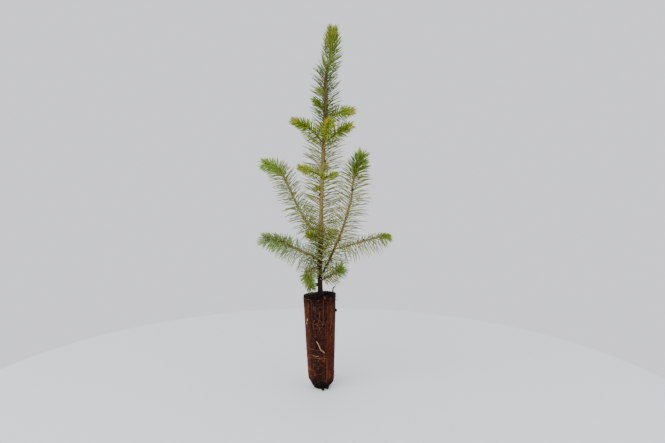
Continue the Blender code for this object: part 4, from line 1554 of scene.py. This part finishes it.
class SPRUCE_colours(bpy.types.PropertyGroup):
    """Colours of the finishes that have one main colour."""

    __annotations__ = {
        **colour_properties(TINTS, "some of the needles"),
        **colour_properties(PEG_COLOURS, "some of the pegs under the needles"),
        **colour_properties(ROOT_COLOURS, "some of the roots on the plug"),
        **colour_properties(CRUMB_COLOURS, "some of the loose crumbs"),
        **colour_properties(OTHER_COLOURS, "this finish"),
    }


class SPRUCE_OT_plug(bpy.types.Operator):
    """Model the plug of peat."""

    bl_idname = "spruce.plug"
    bl_label = "Peat plug"

    def execute(self, context):
        make_plug(context.scene.spruce_sizes)
        return {"FINISHED"}


class SPRUCE_OT_roots(bpy.types.Operator):
    """Lay the surface roots on the plug."""

    bl_idname = "spruce.roots"
    bl_label = "Surface roots"

    def execute(self, context):
        make_roots(context.scene.spruce_sizes)
        return {"FINISHED"}


class SPRUCE_OT_crumbs(bpy.types.Operator):
    """Scatter crumbs of peat."""

    bl_idname = "spruce.crumbs"
    bl_label = "Peat crumbs"

    def execute(self, context):
        make_crumbs(context.scene.spruce_sizes)
        return {"FINISHED"}


class SPRUCE_OT_trunk(bpy.types.Operator):
    """Model the trunk's bark."""

    bl_idname = "spruce.trunk"
    bl_label = "Trunk bark"

    def execute(self, context):
        make_trunk(context.scene.spruce_sizes)
        return {"FINISHED"}


class SPRUCE_OT_boughs(bpy.types.Operator):
    """Model the boughs and twigs."""

    bl_idname = "spruce.boughs"
    bl_label = "Boughs and twigs"

    def execute(self, context):
        make_boughs(context.scene.spruce_sizes)
        return {"FINISHED"}


class SPRUCE_OT_buds(bpy.types.Operator):
    """Model the buds."""

    bl_idname = "spruce.buds"
    bl_label = "Buds"

    def execute(self, context):
        make_buds()
        return {"FINISHED"}


class SPRUCE_OT_needles(bpy.types.Operator):
    """Grow the needles and the pegs that they stand on."""

    bl_idname = "spruce.needles"
    bl_label = "Needles and pegs"

    def execute(self, context):
        sprays = grow_sprays(context.scene.spruce_sizes)
        make_needles(sprays)
        make_pegs(sprays)
        return {"FINISHED"}


class SPRUCE_OT_stage(bpy.types.Operator):
    """Set the floor, the light and the camera."""

    bl_idname = "spruce.stage"
    bl_label = "Stage"

    def execute(self, context):
        make_floor()
        make_light()
        make_camera()
        return {"FINISHED"}


OPERATORS = [
    SPRUCE_OT_plug, SPRUCE_OT_roots, SPRUCE_OT_crumbs, SPRUCE_OT_trunk, SPRUCE_OT_boughs,
    SPRUCE_OT_buds, SPRUCE_OT_needles, SPRUCE_OT_stage,
]  # fmt: skip


class SPRUCE_PT_panel(bpy.types.Panel):
    """Sizes and steps of the seedling."""

    bl_idname = "SPRUCE_PT_panel"
    bl_label = "Spruce seedling"
    bl_space_type = "VIEW_3D"
    bl_region_type = "UI"
    bl_category = "Spruce"

    def draw(self, context):
        for group in (context.scene.spruce_sizes, context.scene.spruce_colours):
            for name in type(group).__annotations__:
                self.layout.prop(group, name)
        for operator in OPERATORS:
            self.layout.operator(operator.bl_idname)


CLASSES = [SPRUCE_sizes, SPRUCE_colours, *OPERATORS, SPRUCE_PT_panel]


def register():
    """Register the classes, with the sizes and colours as properties of the scene."""
    for item in CLASSES:
        bpy.utils.register_class(item)
    bpy.types.Scene.spruce_sizes = bpy.props.PointerProperty(type=SPRUCE_sizes)
    bpy.types.Scene.spruce_colours = bpy.props.PointerProperty(type=SPRUCE_colours)


def unregister():
    """Undo register."""
    del bpy.types.Scene.spruce_colours
    del bpy.types.Scene.spruce_sizes
    for item in reversed(CLASSES):
        bpy.utils.unregister_class(item)


def main():
    """Make every piece in order."""
    register()
    for operator in OPERATORS:
        group, name = operator.bl_idname.split(".")
        getattr(getattr(bpy.ops, group), name)()


if __name__ == "__main__":
    main()
